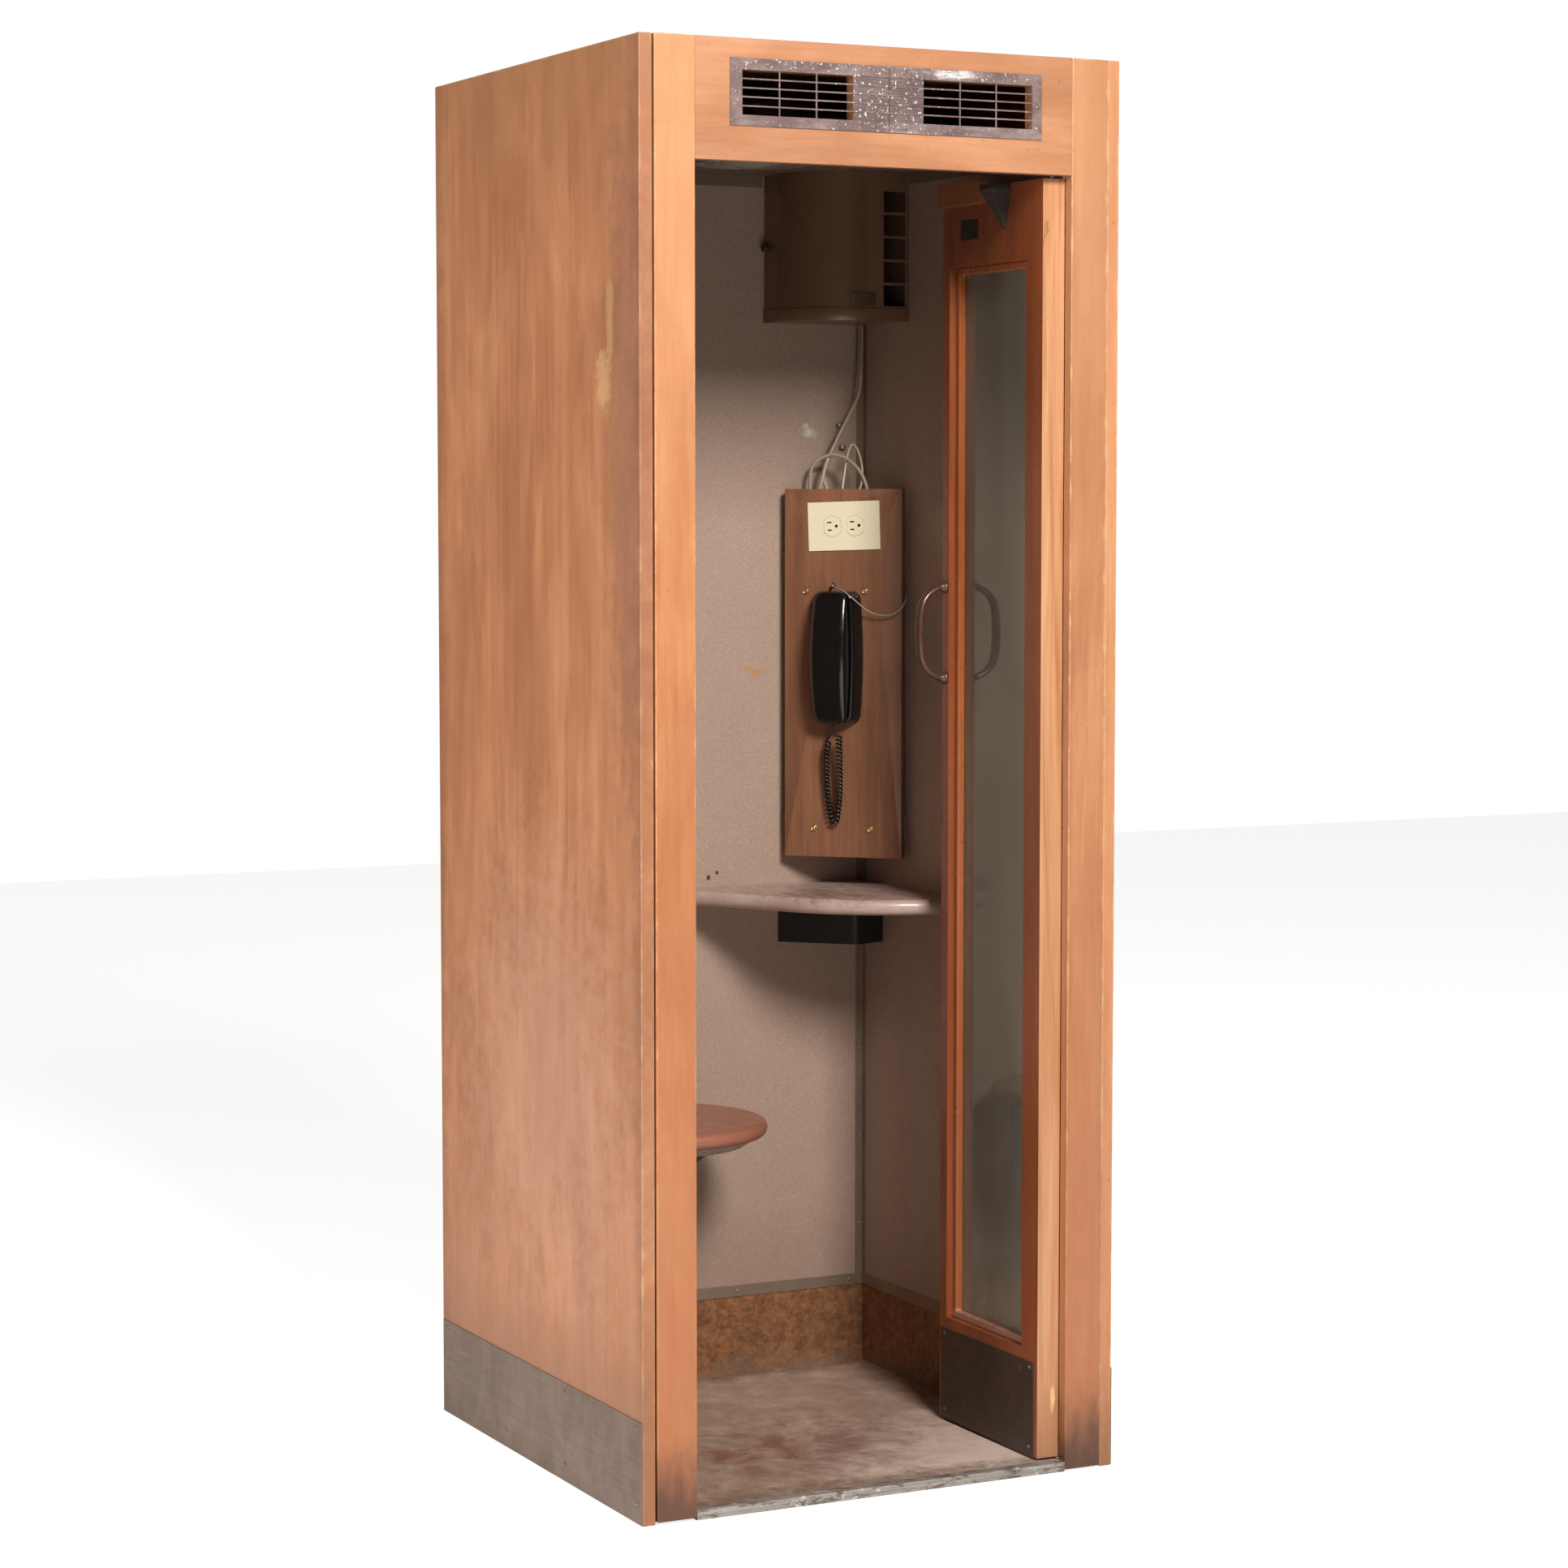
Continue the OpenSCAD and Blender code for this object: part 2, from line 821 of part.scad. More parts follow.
phone_z0 = 1098;
phone_z1 = 1314;
phone_u = -9.5;
phone_mid = (phone_z0 + phone_z1) / 2;
base_out = 28;

// Outline with bowed sides: half width in the middle and at the ends, half height, corners
module bowed(mid, ends, half_h, r) {
  hull() {
    for (x = [-1, 1], z = [-1, 1])
      translate([x * (ends - r), z * (half_h - r)])
        circle(r = r, $fn = 24);
    for (x = [-1, 1], z = [-0.5, 0, 0.5])
      translate([x * (mid - 6 - (mid - ends) * z * z), z * half_h])
        circle(r = 6, $fn = 24);
  }
}

// A bowed outline between two depths in front of the board
module bowed_slab(y0, y1, mid, ends, half_h, r) {
  translate([0, y1, phone_mid])
    rotate([90, 0, 0])
      linear_extrude(height = y1 - y0)
        bowed(mid, ends, half_h, r);
}

// Wall base with sloping sides and a cradle in its front
module phone_base() {
  half_h = (phone_z1 - phone_z0) / 2;
  color(c_black)
    on_board()
      translate([phone_u, 0, 0])
        difference() {
          hull() {
            bowed_slab(-4, -0.3, 45.4, 40, half_h, 12);
            bowed_slab(-base_out, -base_out + 2, 34, 30, half_h - 3, 10);
          }
          bowed_slab(-base_out - 1, -12, 26, 22, half_h - 14, 8);
          block([-4, -base_out - 1, phone_z1 - 34], [4, -2, phone_z1 - 26]);
        }
}

module hook_switch() {
  color([0.10, 0.10, 0.10])
    on_board()
      translate([phone_u, 0, 0])
        block([-3.5, -base_out - 0.2, phone_z1 - 33.5], [3.5, -3, phone_z1 - 26.5]);
}

// Handset with a long arc along its outer face
handset_in = base_out + 0.5;
handset_out = 58;
handset_end = 38;
module handset() {
  half_h = (phone_z1 - phone_z0) / 2 - 0.5;
  sag = handset_out - handset_end;
  arc_r = (half_h * half_h + sag * sag) / (2 * sag);
  color(c_black)
    on_board()
      translate([phone_u, 0, 0])
        difference() {
          intersection() {
            bowed_slab(-handset_out - 1, -handset_in, 31.5, 26, half_h, 11);
            translate([0, arc_r - handset_out, phone_mid])
              rotate([0, 90, 0])
                cylinder(r = arc_r, h = 100, center = true, $fn = 180);
          }
          bowed_slab(-handset_in - 6, -handset_in + 1, 23, 22, 62, 6);
        }
}

// Twelve keys in the inner face of the handset
module keypad_keys() {
  color([0.85, 0.85, 0.82])
    on_board()
      translate([phone_u, 0, phone_mid])
        for (col = [-1:1], row = [-1.5:1.5])
          block([col * 14 - 5, -handset_in - 3.5, row * 14 - 4.5],
            [col * 14 + 5, -handset_in - 0.8, row * 14 + 4.5]);
}

// ---------- cords ----------

// Routes are in the board's own frame, or in the booth's frame for the cables above it
coil_r = 6;
coil_route = [[2.5, -30, 1079], [2, -26, 1050], [1, -21, 1014], [-1, -16, 979],
  [-4.5, -13, 955], [-7.5, -11, 941], [-11, -10, 936], [-15, -10, 940], [-19, -10, 956],
  [-22.5, -10, 979], [-25, -11, 1014], [-24.5, -13, 1046], [-20, -15, 1068]];
coil_lead = [[-8, -33, 1098.2], [-7.5, -33, 1092], [-5.5, -32, 1084], [-1.5, -30.5, 1077]];
coil_tail = [[-20, -15, 1067], [-16, -16, 1080], [-13, -16, 1090], [-12, -16, 1098]];

module handset_cord() {
  color(c_black)
    on_board() {
      cord_tube(smooth(coil_route, 2), coil_r, coil_r, [0, 1, 0], 8);
      cord_tube(coil_lead, 1.6, 1.6, [0, 1, 0], 8);
      cord_tube(coil_tail, 1.6, 1.6, [0, 1, 0], 8);
    }
}

// Flat line cord: out of a hole above the phone, round its corner, then behind the board's edge
line_route = [[-17, 6, 1322], [-17, -4, 1322], [-14, -11, 1322], [-4, -20, 1318.5],
  [8, -29, 1315.5], [18, -34, 1310], [28, -31, 1301.5], [36, -24, 1293], [46, -18, 1284],
  [58, -13, 1277.5], [72, -11, 1275], [85, -9.5, 1276], [95, -8, 1281], [101.5, -5, 1288],
  [105.5, 1, 1297], [106, 7, 1305], [104, 12, 1311]];

module line_cord() {
  color([0.60, 0.61, 0.60])
    on_board()
      cord_tube(line_route, 1.1, 2.8, [0, -1, 0.3], 8);
}

// Two power cables and a thin ivory one, from the fan housing to behind the board
cable_down = [[331, 329, 1749], [330, 328, 1700], [327, 326, 1655], [320, 322, 1628],
  [306, 320, 1602], [292, 318, 1577], [278, 316, 1553], [266, 315, 1531], [258, 313, 1512],
  [255, 309, 1496], [256, 302, 1482], [258, 298, 1466], [258, 300, 1448]];
cable_loop = [[331, 321, 1749], [330, 320, 1700], [327, 318, 1655], [319, 315, 1628],
  [304, 313, 1602], [289, 312, 1577], [275, 310, 1553], [263, 309, 1531], [255, 307, 1512],
  [250, 305, 1496], [246, 306, 1482], [242, 312, 1464], [238, 318, 1464], [236, 321, 1482],
  [237, 321, 1508], [244, 317, 1524], [256, 309, 1533], [270, 298, 1536], [287, 282, 1527],
  [300, 267, 1508], [306, 257, 1485], [307, 253, 1465], [303, 257, 1449]];
cable_thin = [[275, 282, 1460], [276, 283, 1482], [281, 286, 1505], [286, 289, 1526],
  [292, 290, 1546], [298, 288, 1553], [304, 281, 1541], [306, 272, 1516], [303, 266, 1494],
  [298, 266, 1478], [292, 268, 1460]];

module power_cables() {
  color([0.62, 0.57, 0.48]) {
    cord_tube(cable_down, 3.2, 3.2, [1, 1, 0.1], 8);
    cord_tube(cable_loop, 3.2, 3.2, [1, 1, 0.1], 8);
    cord_tube(cable_thin, 1.8, 1.8, [1, 1, 0.1], 8);
  }
}

// ---------- door leaves ----------

// Glass opening of a leaf, and how far the glass stands from the inner face
rail_top_z = 1817;
rail_bottom_z = 180.5;
glass_depth = 23;
glass_t = 5;
bead_w = 11;
bead_t = 12;
leaf_kick_t = 1.2;
leaf_kick_z1 = 163.5;

// Hinges between the leaves: half height and the heights of their middles
hinge_zs = [230, 980, 1730];
hinge_half = 45;
barrel_r = 5;
plate_t = 2;
knuckle = 30;

// Space the barrels and the plates take out of a leaf's end edge
module hinge_space() {
  for (z = hinge_zs) {
    rod([hinge_x, hinge_y, z - hinge_half - 0.5], "z", barrel_r + 0.6, 2 * hinge_half + 1);
    block([hinge_x - 40, leaf_y1 - plate_t, z - hinge_half], [hinge_x + 40, leaf_y1 + 1,
      z + hinge_half]);
  }
}

// Four members of one leaf, butted edge to edge; y runs from the free end to the hinge end
module leaf_members(x0, x1) {
  gap = 0.05;
  inner_y0 = leaf_y0 + wide_stile;
  inner_y1 = leaf_y1 - hinge_stile;
  difference() {
    union() {
      block([x0, leaf_y0, leaf_bottom], [x1, inner_y0 - gap, leaf_top]);
      block([x0, inner_y1 + gap, leaf_bottom], [x1, leaf_y1, leaf_top]);
      block([x0, inner_y0, leaf_bottom], [x1, inner_y1, rail_bottom_z]);
      block([x0, inner_y0, rail_top_z], [x1, inner_y1, leaf_top]);
    }
    hinge_space();
  }
}

// Pane that fills the opening, set back from the inner face
module leaf_pane(x) {
  block([x, leaf_y0 + wide_stile + 1, rail_bottom_z + 1],
    [x + glass_t, leaf_y1 - hinge_stile - 1, rail_top_z - 1]);
}

// Four glazing beads in front of the pane
module leaf_bead_ring(x0, x1) {
  difference() {
    block([x0, leaf_y0 + wide_stile + 0.05, rail_bottom_z + 0.05],
      [x1, leaf_y1 - hinge_stile - 0.05, rail_top_z - 0.05]);
    block([x0 - 1, leaf_y0 + wide_stile + bead_w, rail_bottom_z + bead_w],
      [x1 + 1, leaf_y1 - hinge_stile - bead_w, rail_top_z - bead_w]);
  }
}

// Butt hinge halves: side is -1 for the lead leaf and +1 for the rear leaf
module hinge_half_set(side) {
  for (z = hinge_zs) {
    mine = side > 0 ? [[-hinge_half, -knuckle / 2 - 0.1], [knuckle / 2 + 0.1, hinge_half]]
      : [[-knuckle / 2 + 0.1, knuckle / 2 - 0.1]];
    other = side > 0 ? [[-knuckle / 2 - 0.1, knuckle / 2 + 0.1]]
      : [[-hinge_half - 1, -knuckle / 2 + 0.1], [knuckle / 2 - 0.1, hinge_half + 1]];
    difference() {
      union() {
        block([min(hinge_x + side * 2, hinge_x + side * 30), leaf_y1 - plate_t,
          z - hinge_half], [max(hinge_x + side * 2, hinge_x + side * 30), leaf_y1,
          z + hinge_half]);
        for (m = mine)
          rod([hinge_x, hinge_y, z + m[0]], "z", barrel_r, m[1] - m[0]);
      }
      for (m = other)
        rod([hinge_x, hinge_y, z + m[0]], "z", barrel_r + 0.5, m[1] - m[0]);
      rod([hinge_x, hinge_y, z - hinge_half - 1], "z", 2.5 + bore_gap, 2 * hinge_half + 2);
    }
  }
}

module rear_leaf_frame() {
  color(c_wood_dark)
    leaf_members(rear_x0, rear_x1);
}

module rear_leaf_glass() {
  color(c_glass)
    leaf_pane(rear_x1 - glass_depth - glass_t);
}

module rear_leaf_beads() {
  color(c_wood_dark)
    leaf_bead_ring(rear_x1 - glass_depth + 0.1, rear_x1 - glass_depth + bead_t);
}

module rear_leaf_kick_plate() {
  color(c_plate)
    block([rear_x1, leaf_y0 + 11, leaf_bottom], [rear_x1 + leaf_kick_t, leaf_y1 - 5,
      leaf_kick_z1]);
}

// Steel arms on the top and bottom edges of the rear leaf, each with its pivot pin
module rear_leaf_pivots() {
  arm_t = 4;
  nose = 4.4;
  color(c_steel) {
    block([rear_x0 + 0.7, leaf_y0 + 1, leaf_top], [rear_x1 - 3, leaf_y0 + 60,
      leaf_top + arm_t]);
    rod([jamb_x, jamb_y, leaf_top + 1], "z", nose, arm_t - 1);
    rod([jamb_x, jamb_y, leaf_top + arm_t - 1], "z", pin_r, 8);
    block([rear_x0 + 0.7, leaf_y0 + 1, leaf_bottom - 3], [rear_x1 - 3, leaf_y0 + 60,
      leaf_bottom]);
    rod([jamb_x, jamb_y, leaf_bottom - 3], "z", nose, 2);
    rod([jamb_x, jamb_y, 6], "z", pin_r, leaf_bottom - 8);
  }
}

module rear_hinge_halves() {
  color(c_brass) {
    hinge_half_set(1);
    for (z = hinge_zs)
      rod([hinge_x, hinge_y, z - hinge_half], "z", 2.5, 2 * hinge_half);
  }
}

module lead_leaf_frame() {
  color(c_wood_dark)
    difference() {
      leaf_members(lead_x0, lead_x1);
      rod([guide_x, guide_y, leaf_top - 30], "z", pin_r, 40);
    }
}

module lead_leaf_glass() {
  color(c_glass)
    leaf_pane(lead_x0 + glass_depth);
}

module lead_leaf_beads() {
  color(c_wood_dark)
    leaf_bead_ring(lead_x0 + glass_depth - bead_t, lead_x0 + glass_depth - 0.1);
}

module lead_leaf_kick_plate() {
  color(c_plate)
    block([lead_x0 - leaf_kick_t, leaf_y0 + 11, leaf_bottom], [lead_x0, leaf_y1 - 5,
      leaf_kick_z1]);
}

module lead_hinge_halves() {
  color(c_brass)
    hinge_half_set(-1);
}

// Bow handle on the hinge stile, standing off the inner face
handle_y = leaf_y1 - 9;
handle_z0 = 1186;
handle_z1 = 1327;
handle_out = 48;
module door_handle() {
  mid = (handle_z0 + handle_z1) / 2;
  half = (handle_z1 - handle_z0) / 2;
  bow = [[1.5, half], [12, half - 2], [26, half - 8], [38, half - 20], [45, half - 38],
    [handle_out, 0], [45, 38 - half], [38, 20 - half], [26, 8 - half], [12, 2 - half],
    [1.5, -half]];
  route = [for (b = bow) [lead_x0 - b[0], handle_y, mid + b[1]]];
  color([0.35, 0.25, 0.22]) {
    cord_tube(smooth(route, 2), 5, 6, [0, 1, 0], 12);
    for (s = [-1, 1])
      translate([lead_x0 - 0.2, handle_y, mid + s * half])
        rotate([0, -90, 0])
          cylinder(r1 = 9, r2 = 6, h = 7);
  }
}

// Wooden cleat on the top rail
cam_y0 = py(116);
cam_y1 = py(152);
module top_cleat() {
  color(c_wood_dark)
    block([lead_x0 - 12, py(190), 1909], [lead_x0, leaf_y1 - 1, 1945]);
}

// Pointed cam plate and small strike plate on the top rail
module top_rail_fittings() {
  color(c_trim) {
    hull() {
      block([lead_x0 - 34, cam_y0, 1925], [lead_x0, cam_y1, 1932]);
      block([lead_x0 - 2, cam_y0 + 14, 1868], [lead_x0, cam_y0 + 22, 1869]);
    }
    block([lead_x0 - 1.5, py(215), 1857], [lead_x0, py(267), 1887]);
  }
}

module guide_pin() {
  color(c_steel) {
    rod([guide_x, guide_y, leaf_top - 30], "z", pin_r, roller_z1 - leaf_top + 31);
    rod([guide_x, guide_y, leaf_top], "z", 5, roller_z0 - leaf_top - 0.2);
  }
}

module guide_roller() {
  color([0.85, 0.82, 0.75])
    difference() {
      rod([guide_x, guide_y, roller_z0], "z", roller_r, roller_z1 - roller_z0);
      rod([guide_x, guide_y, roller_z0 - 1], "z", pin_r + bore_gap, 20);
    }
}

base_board();
floor_covering();
threshold_strip();
left_side_panel();
right_side_panel();
back_panel();
roof_panel();
left_stile();
right_stile();
header();
left_jamb_strip();
wall_battens();
wall_linings();
ceiling_panel();
metal_trims();
baseboards();
outer_kick_plates();
round_head_screws();
vent_registers();
door_track();
pivot_brackets();
light_housing();
light_bulb();
light_lens();
shelf();
shelf_support();
seat_top();
seat_support();
fan_housing();
fan_motor();
fan_impeller();
fan_knob();
phone_board();
board_screws();
outlet_box();
outlet_receptacle();
outlet_plate();
phone_base();
hook_switch();
handset();
keypad_keys();
handset_cord();
line_cord();
power_cables();
rear_leaf_frame();
rear_leaf_glass();
rear_leaf_beads();
rear_leaf_kick_plate();
rear_leaf_pivots();
rear_hinge_halves();
lead_leaf_frame();
lead_leaf_glass();
lead_leaf_beads();
lead_leaf_kick_plate();
lead_hinge_halves();
door_handle();
top_cleat();
top_rail_fittings();
guide_pin();
guide_roller();
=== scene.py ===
import math

import bmesh
import bpy
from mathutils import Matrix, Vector


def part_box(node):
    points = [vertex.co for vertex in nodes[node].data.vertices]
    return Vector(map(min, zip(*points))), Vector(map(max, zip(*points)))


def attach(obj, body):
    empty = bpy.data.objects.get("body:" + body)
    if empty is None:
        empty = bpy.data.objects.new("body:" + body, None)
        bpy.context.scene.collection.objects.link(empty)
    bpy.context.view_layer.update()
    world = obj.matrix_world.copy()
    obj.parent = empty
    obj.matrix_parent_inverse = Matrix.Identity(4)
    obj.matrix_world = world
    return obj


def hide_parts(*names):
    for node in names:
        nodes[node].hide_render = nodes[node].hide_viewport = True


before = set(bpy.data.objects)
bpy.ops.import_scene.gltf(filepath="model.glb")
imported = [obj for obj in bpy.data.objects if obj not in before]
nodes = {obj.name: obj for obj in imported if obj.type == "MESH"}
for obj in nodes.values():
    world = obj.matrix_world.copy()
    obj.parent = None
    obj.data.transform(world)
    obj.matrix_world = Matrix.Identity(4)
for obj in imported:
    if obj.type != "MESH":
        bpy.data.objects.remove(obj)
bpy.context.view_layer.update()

MM = 0.001
WHITE = (1, 1, 1, 1)
scene = bpy.context.scene


# ---------------------------------------------------------------- camera, light, world

CAMERA_AT = (-2.5556, -5.1774, 1.4568)
CAMERA_DIP = 4.282      # degrees below level
CAMERA_TURN = -26.517   # degrees round the upright, from looking along +Y
CAMERA_LENS = 86.09

cam_data = bpy.data.cameras.new("camera")
camera = bpy.data.objects.new("camera", cam_data)
scene.collection.objects.link(camera)
scene.camera = camera
camera.location = CAMERA_AT
camera.rotation_euler = (math.radians(90 - CAMERA_DIP), 0, math.radians(CAMERA_TURN))
cam_data.lens = CAMERA_LENS
cam_data.sensor_width = 36
cam_data.clip_end = 60

scene.view_settings.view_transform = "Standard"
scene.view_settings.look = "None"


def area_light(name, at, look, size, power, colour):
    data = bpy.data.lights.new(name, "AREA")
    data.shape = "RECTANGLE"
    data.size, data.size_y = size
    data.energy = power
    data.color = colour
    ob = bpy.data.objects.new(name, data)
    ob.location = at
    ob.rotation_mode = "QUATERNION"
    ob.rotation_quaternion = (Vector(look) - Vector(at)).to_track_quat("-Z", "Y")
    scene.collection.objects.link(ob)


area_light("key", (-0.35, -4.5, 4.05), (0.0, 0.0, 1.1), (1.3, 1.3), 350, (1.0, 0.97, 0.93))
area_light("fill", (-4.4, -0.6, 1.5), (-0.3, 0.0, 1.0), (2.2, 2.6), 128, (1.0, 0.96, 0.93))
area_light("low", (-1.2, -4.2, 0.5), (0.0, 0.2, 0.6), (1.8, 0.8), 9, (1.0, 0.96, 0.93))


def add_node(tree, kind, **values):
    node = tree.nodes.new(kind)
    for socket, value in values.items():
        node.inputs[socket].default_value = value
    return node


def for_camera(tree, seen, unseen):
    """One shader for what the camera sees straight on, another for what bounced light meets."""
    mix = tree.nodes.new("ShaderNodeMixShader")
    path = tree.nodes.new("ShaderNodeLightPath")
    tree.links.new(path.outputs["Is Camera Ray"], mix.inputs[0])
    tree.links.new(unseen.outputs[0], mix.inputs[1])
    tree.links.new(seen.outputs[0], mix.inputs[2])
    return mix.outputs[0]


world = bpy.data.worlds.new("studio")
scene.world = world
world.use_nodes = True
sky = world.node_tree
sky.nodes.clear()
backdrop = add_node(sky, "ShaderNodeBackground", Color=WHITE, Strength=1.0)
ambient = add_node(sky, "ShaderNodeBackground", Color=(1.0, 0.97, 0.95, 1), Strength=0.10)
world_out = sky.nodes.new("ShaderNodeOutputWorld")
sky.links.new(for_camera(sky, backdrop, ambient), world_out.inputs["Surface"])


# ---------------------------------------------------------------- materials

class Paint:
    """A principled material built from object-space procedural textures."""

    def __init__(self, name, rough=0.5, metal=0.0, coat=0.0, spec=0.5):
        self.mat = bpy.data.materials.new(name)
        self.mat.use_nodes = True
        self.nt = self.mat.node_tree
        self.nt.nodes.clear()
        self.out = self.nt.nodes.new("ShaderNodeOutputMaterial")
        self.bsdf = self.nt.nodes.new("ShaderNodeBsdfPrincipled")
        self.nt.links.new(self.bsdf.outputs[0], self.out.inputs["Surface"])
        for socket, value in (("Roughness", rough), ("Metallic", metal), ("Coat Weight", coat),
                              ("Coat Roughness", 0.12), ("Specular IOR Level", spec)):
            self.set(socket, value)
        places = self.nt.nodes.new("ShaderNodeTexCoord")
        self.pos = places.outputs["Object"]
        self.normal = places.outputs["Normal"]
        self.split = self.node("ShaderNodeSeparateXYZ", self.pos)

    def feed(self, socket, value):
        if isinstance(value, bpy.types.NodeSocket):
            self.nt.links.new(value, socket)
        elif isinstance(value, (tuple, list)) and socket.type == "RGBA":
            socket.default_value = (*value[:3], 1.0)
        else:
            socket.default_value = value

    def set(self, socket, value):
        self.feed(self.bsdf.inputs[socket], value)

    def node(self, kind, *values, **props):
        """A node with its settings, and its first inputs fed in order."""
        n = self.nt.nodes.new(kind)
        for name, value in props.items():
            setattr(n, name, value)
        for socket, value in zip(n.inputs, values):
            self.feed(socket, value)
        return n

    def math(self, op, a, b=0.0, clamp=False):
        return self.node("ShaderNodeMath", a, b, operation=op, use_clamp=clamp).outputs[0]

    def plus(self, a, b, clamp=False):
        return self.math("ADD", a, b, clamp)

    def times(self, a, b, clamp=False):
        return self.math("MULTIPLY", a, b, clamp)

    def most(self, a, b):
        return self.math("MAXIMUM", a, b)

    def least(self, a, b):
        return self.math("MINIMUM", a, b)

    def mapped(self, scale, offset=(0, 0, 0), turn=(0, 0, 0)):
        return self.node("ShaderNodeMapping", self.pos, offset, turn, scale).outputs[0]

    def noise(self, scale, detail=3.0, rough=0.5, distort=0.0, offset=(0, 0, 0), turn=(0, 0, 0)):
        s = (scale, scale, scale) if isinstance(scale, (int, float)) else scale
        n = add_node(self.nt, "ShaderNodeTexNoise", Scale=1.0, Detail=detail, Roughness=rough,
                     Distortion=distort)
        self.feed(n.inputs["Vector"], self.mapped(s, offset, turn))
        return n.outputs[0]

    def ramp(self, fac, *stops):
        n = self.node("ShaderNodeValToRGB", fac)
        points = n.color_ramp.elements
        while len(points) < len(stops):
            points.new(0.5)
        for point, (at, colour) in zip(points, stops):
            point.position = at
            point.color = (*colour, 1)
        return n.outputs[0]

    def range(self, v, a, b, c=0.0, d=1.0, smooth=False):
        kind = "SMOOTHSTEP" if smooth else "LINEAR"
        return self.node("ShaderNodeMapRange", v, a, b, c, d, interpolation_type=kind).outputs[0]

    def mix(self, fac, a, b):
        n = self.node("ShaderNodeMix", fac, data_type="RGBA")
        self.feed(n.inputs[6], a)
        self.feed(n.inputs[7], b)
        return n.outputs[2]

    def over(self, base, tone, v, a, b, c=0.0, d=1.0, smooth=False):
        """A colour with a tone laid over it as a value goes from a to b."""
        return self.mix(self.range(v, a, b, c, d, smooth), base, tone)

    def tint(self, fac, colour):
        """Lays a colour over the base colour there already is."""
        base = self.bsdf.inputs["Base Color"].links[0].from_socket
        self.set("Base Color", self.mix(fac, base, colour))

    def xyz(self, i):
        return self.split.outputs[i]

    def bump(self, height, strength=0.3, dist=0.001):
        n = add_node(self.nt, "ShaderNodeBump", Strength=strength, Distance=dist)
        self.feed(n.inputs["Height"], height)
        self.set("Normal", n.outputs[0])

    def ragged(self, v, scale, spread, detail=4, distort=0.0, low=0.3):
        """A value that wanders by up to spread."""
        return self.plus(v, self.range(self.noise(scale, detail, 0.7, distort), low, 1 - low, -spread, spread))

    def near_edge(self, lo, hi):
        """Distance in metres from the nearest arris of a box-like part."""
        d = []
        for i in range(3):
            p = self.xyz(i)
            d.append(self.least(self.math("SUBTRACT", p, lo[i]), self.math("SUBTRACT", hi[i], p)))
        return self.most(self.least(d[0], d[1]), self.least(self.most(d[0], d[1]), d[2]))

    def spot(self, at, size, soft=0.5):
        """1 inside an ellipse round a point, 0 outside, ragged at the rim."""
        place = self.mapped(tuple(1 / s for s in size), tuple(-a / s for a, s in zip(at, size)))
        length = self.node("ShaderNodeVectorMath", place, operation="LENGTH").outputs["Value"]
        ragged = self.plus(length, self.range(self.noise(45, 4, 0.6), 0.3, 0.7, -0.45, 0.45))
        return self.range(ragged, 1.0 - soft, 1.0 + soft * 0.4, 1.0, 0.0, True)


def wood(name, pale, mid, deep, grain=(0, 0, 1), rough=0.38, coat=0.25, seed=0.0, figure=1.0, edge=None,
         edge_colour=None, edge_width=0.003, stain=None, fine=1.0, bump=0.25, clouds=0.35, stretch=0.055):
    """Varnished timber or veneer with the grain along one axis."""
    p = Paint(name, rough, coat=coat, spec=0.45)
    k = [1.0 if g == 0 else 0.055 for g in grain]
    soft = [1.0 if g == 0 else stretch for g in grain]
    off = (seed * 1.37, seed * 2.11, seed * 0.73)

    def along(s):
        return tuple(s * x for x in k)

    broad = p.noise(tuple(7.0 * x for x in soft), 3, 0.55, 1.6, off)
    rings = p.noise(along(26.0), 2, 0.5, 1.1, off)
    fibre = p.noise(along(420.0), 3, 0.6, 0.0, off)
    streak = p.noise(along(120.0), 3, 0.65, 0.3, off)
    blotch = p.noise(2.6, 4, 0.6, 0.4, off)
    base = p.ramp(p.plus(p.times(broad, 0.62 * figure),
                         p.times(rings, 0.38)),
                  (0.30, deep), (0.47, mid), (0.66, pale))
    base = p.over(base, mid, blotch, 0.35, 0.75, 0.0, 0.55)
    cloud_scale = (5.5 - 3.3 * grain[0], 5.5, 5.5 - 3.3 * grain[2])
    cloud = p.noise(cloud_scale, 5, 0.62, 0.7, (seed * 3.1, seed, seed * 1.9))
    base = p.over(base, tuple(c * 0.82 for c in deep), cloud, 0.44, 0.72, 0.0, clouds)
    base = p.over(base, pale, cloud, 0.46, 0.28, 0.0, clouds * 0.8)
    base = p.over(base, deep, streak, 0.42, 0.75, 0.0, 0.40 * fine)
    base = p.over(base, pale, fibre, 0.30, 0.70, 0.0, 0.22 * fine)
    nick = p.range(p.noise((150, 150, 150), 2, 0.5, 0.0, off), 0.70, 0.76)
    base = p.mix(p.times(nick, 0.45), base, tuple(c * 0.5 for c in deep))
    if edge:
        d = p.near_edge(*edge)
        wear = p.range(p.plus(d, p.range(p.noise(28, 5, 0.7), 0.3, 0.7, -0.0015, 0.0035)),
                       0.0, edge_width, 1.0, 0.0)
        base = p.mix(p.times(wear, 0.7), base, edge_colour or pale)
    for fac, colour in (stain(p) if stain else ()):
        base = p.mix(fac, base, colour)
    p.set("Base Color", base)
    p.set("Roughness", p.range(p.noise(9, 4, 0.6, 0, off), 0.3, 0.7, rough - 0.08, rough + 0.14))
    h = p.plus(p.times(streak, 0.5), p.times(fibre, 0.35))
    p.bump(p.math("SUBTRACT", h, p.times(nick, 0.6)), bump, 0.0006)
    return p


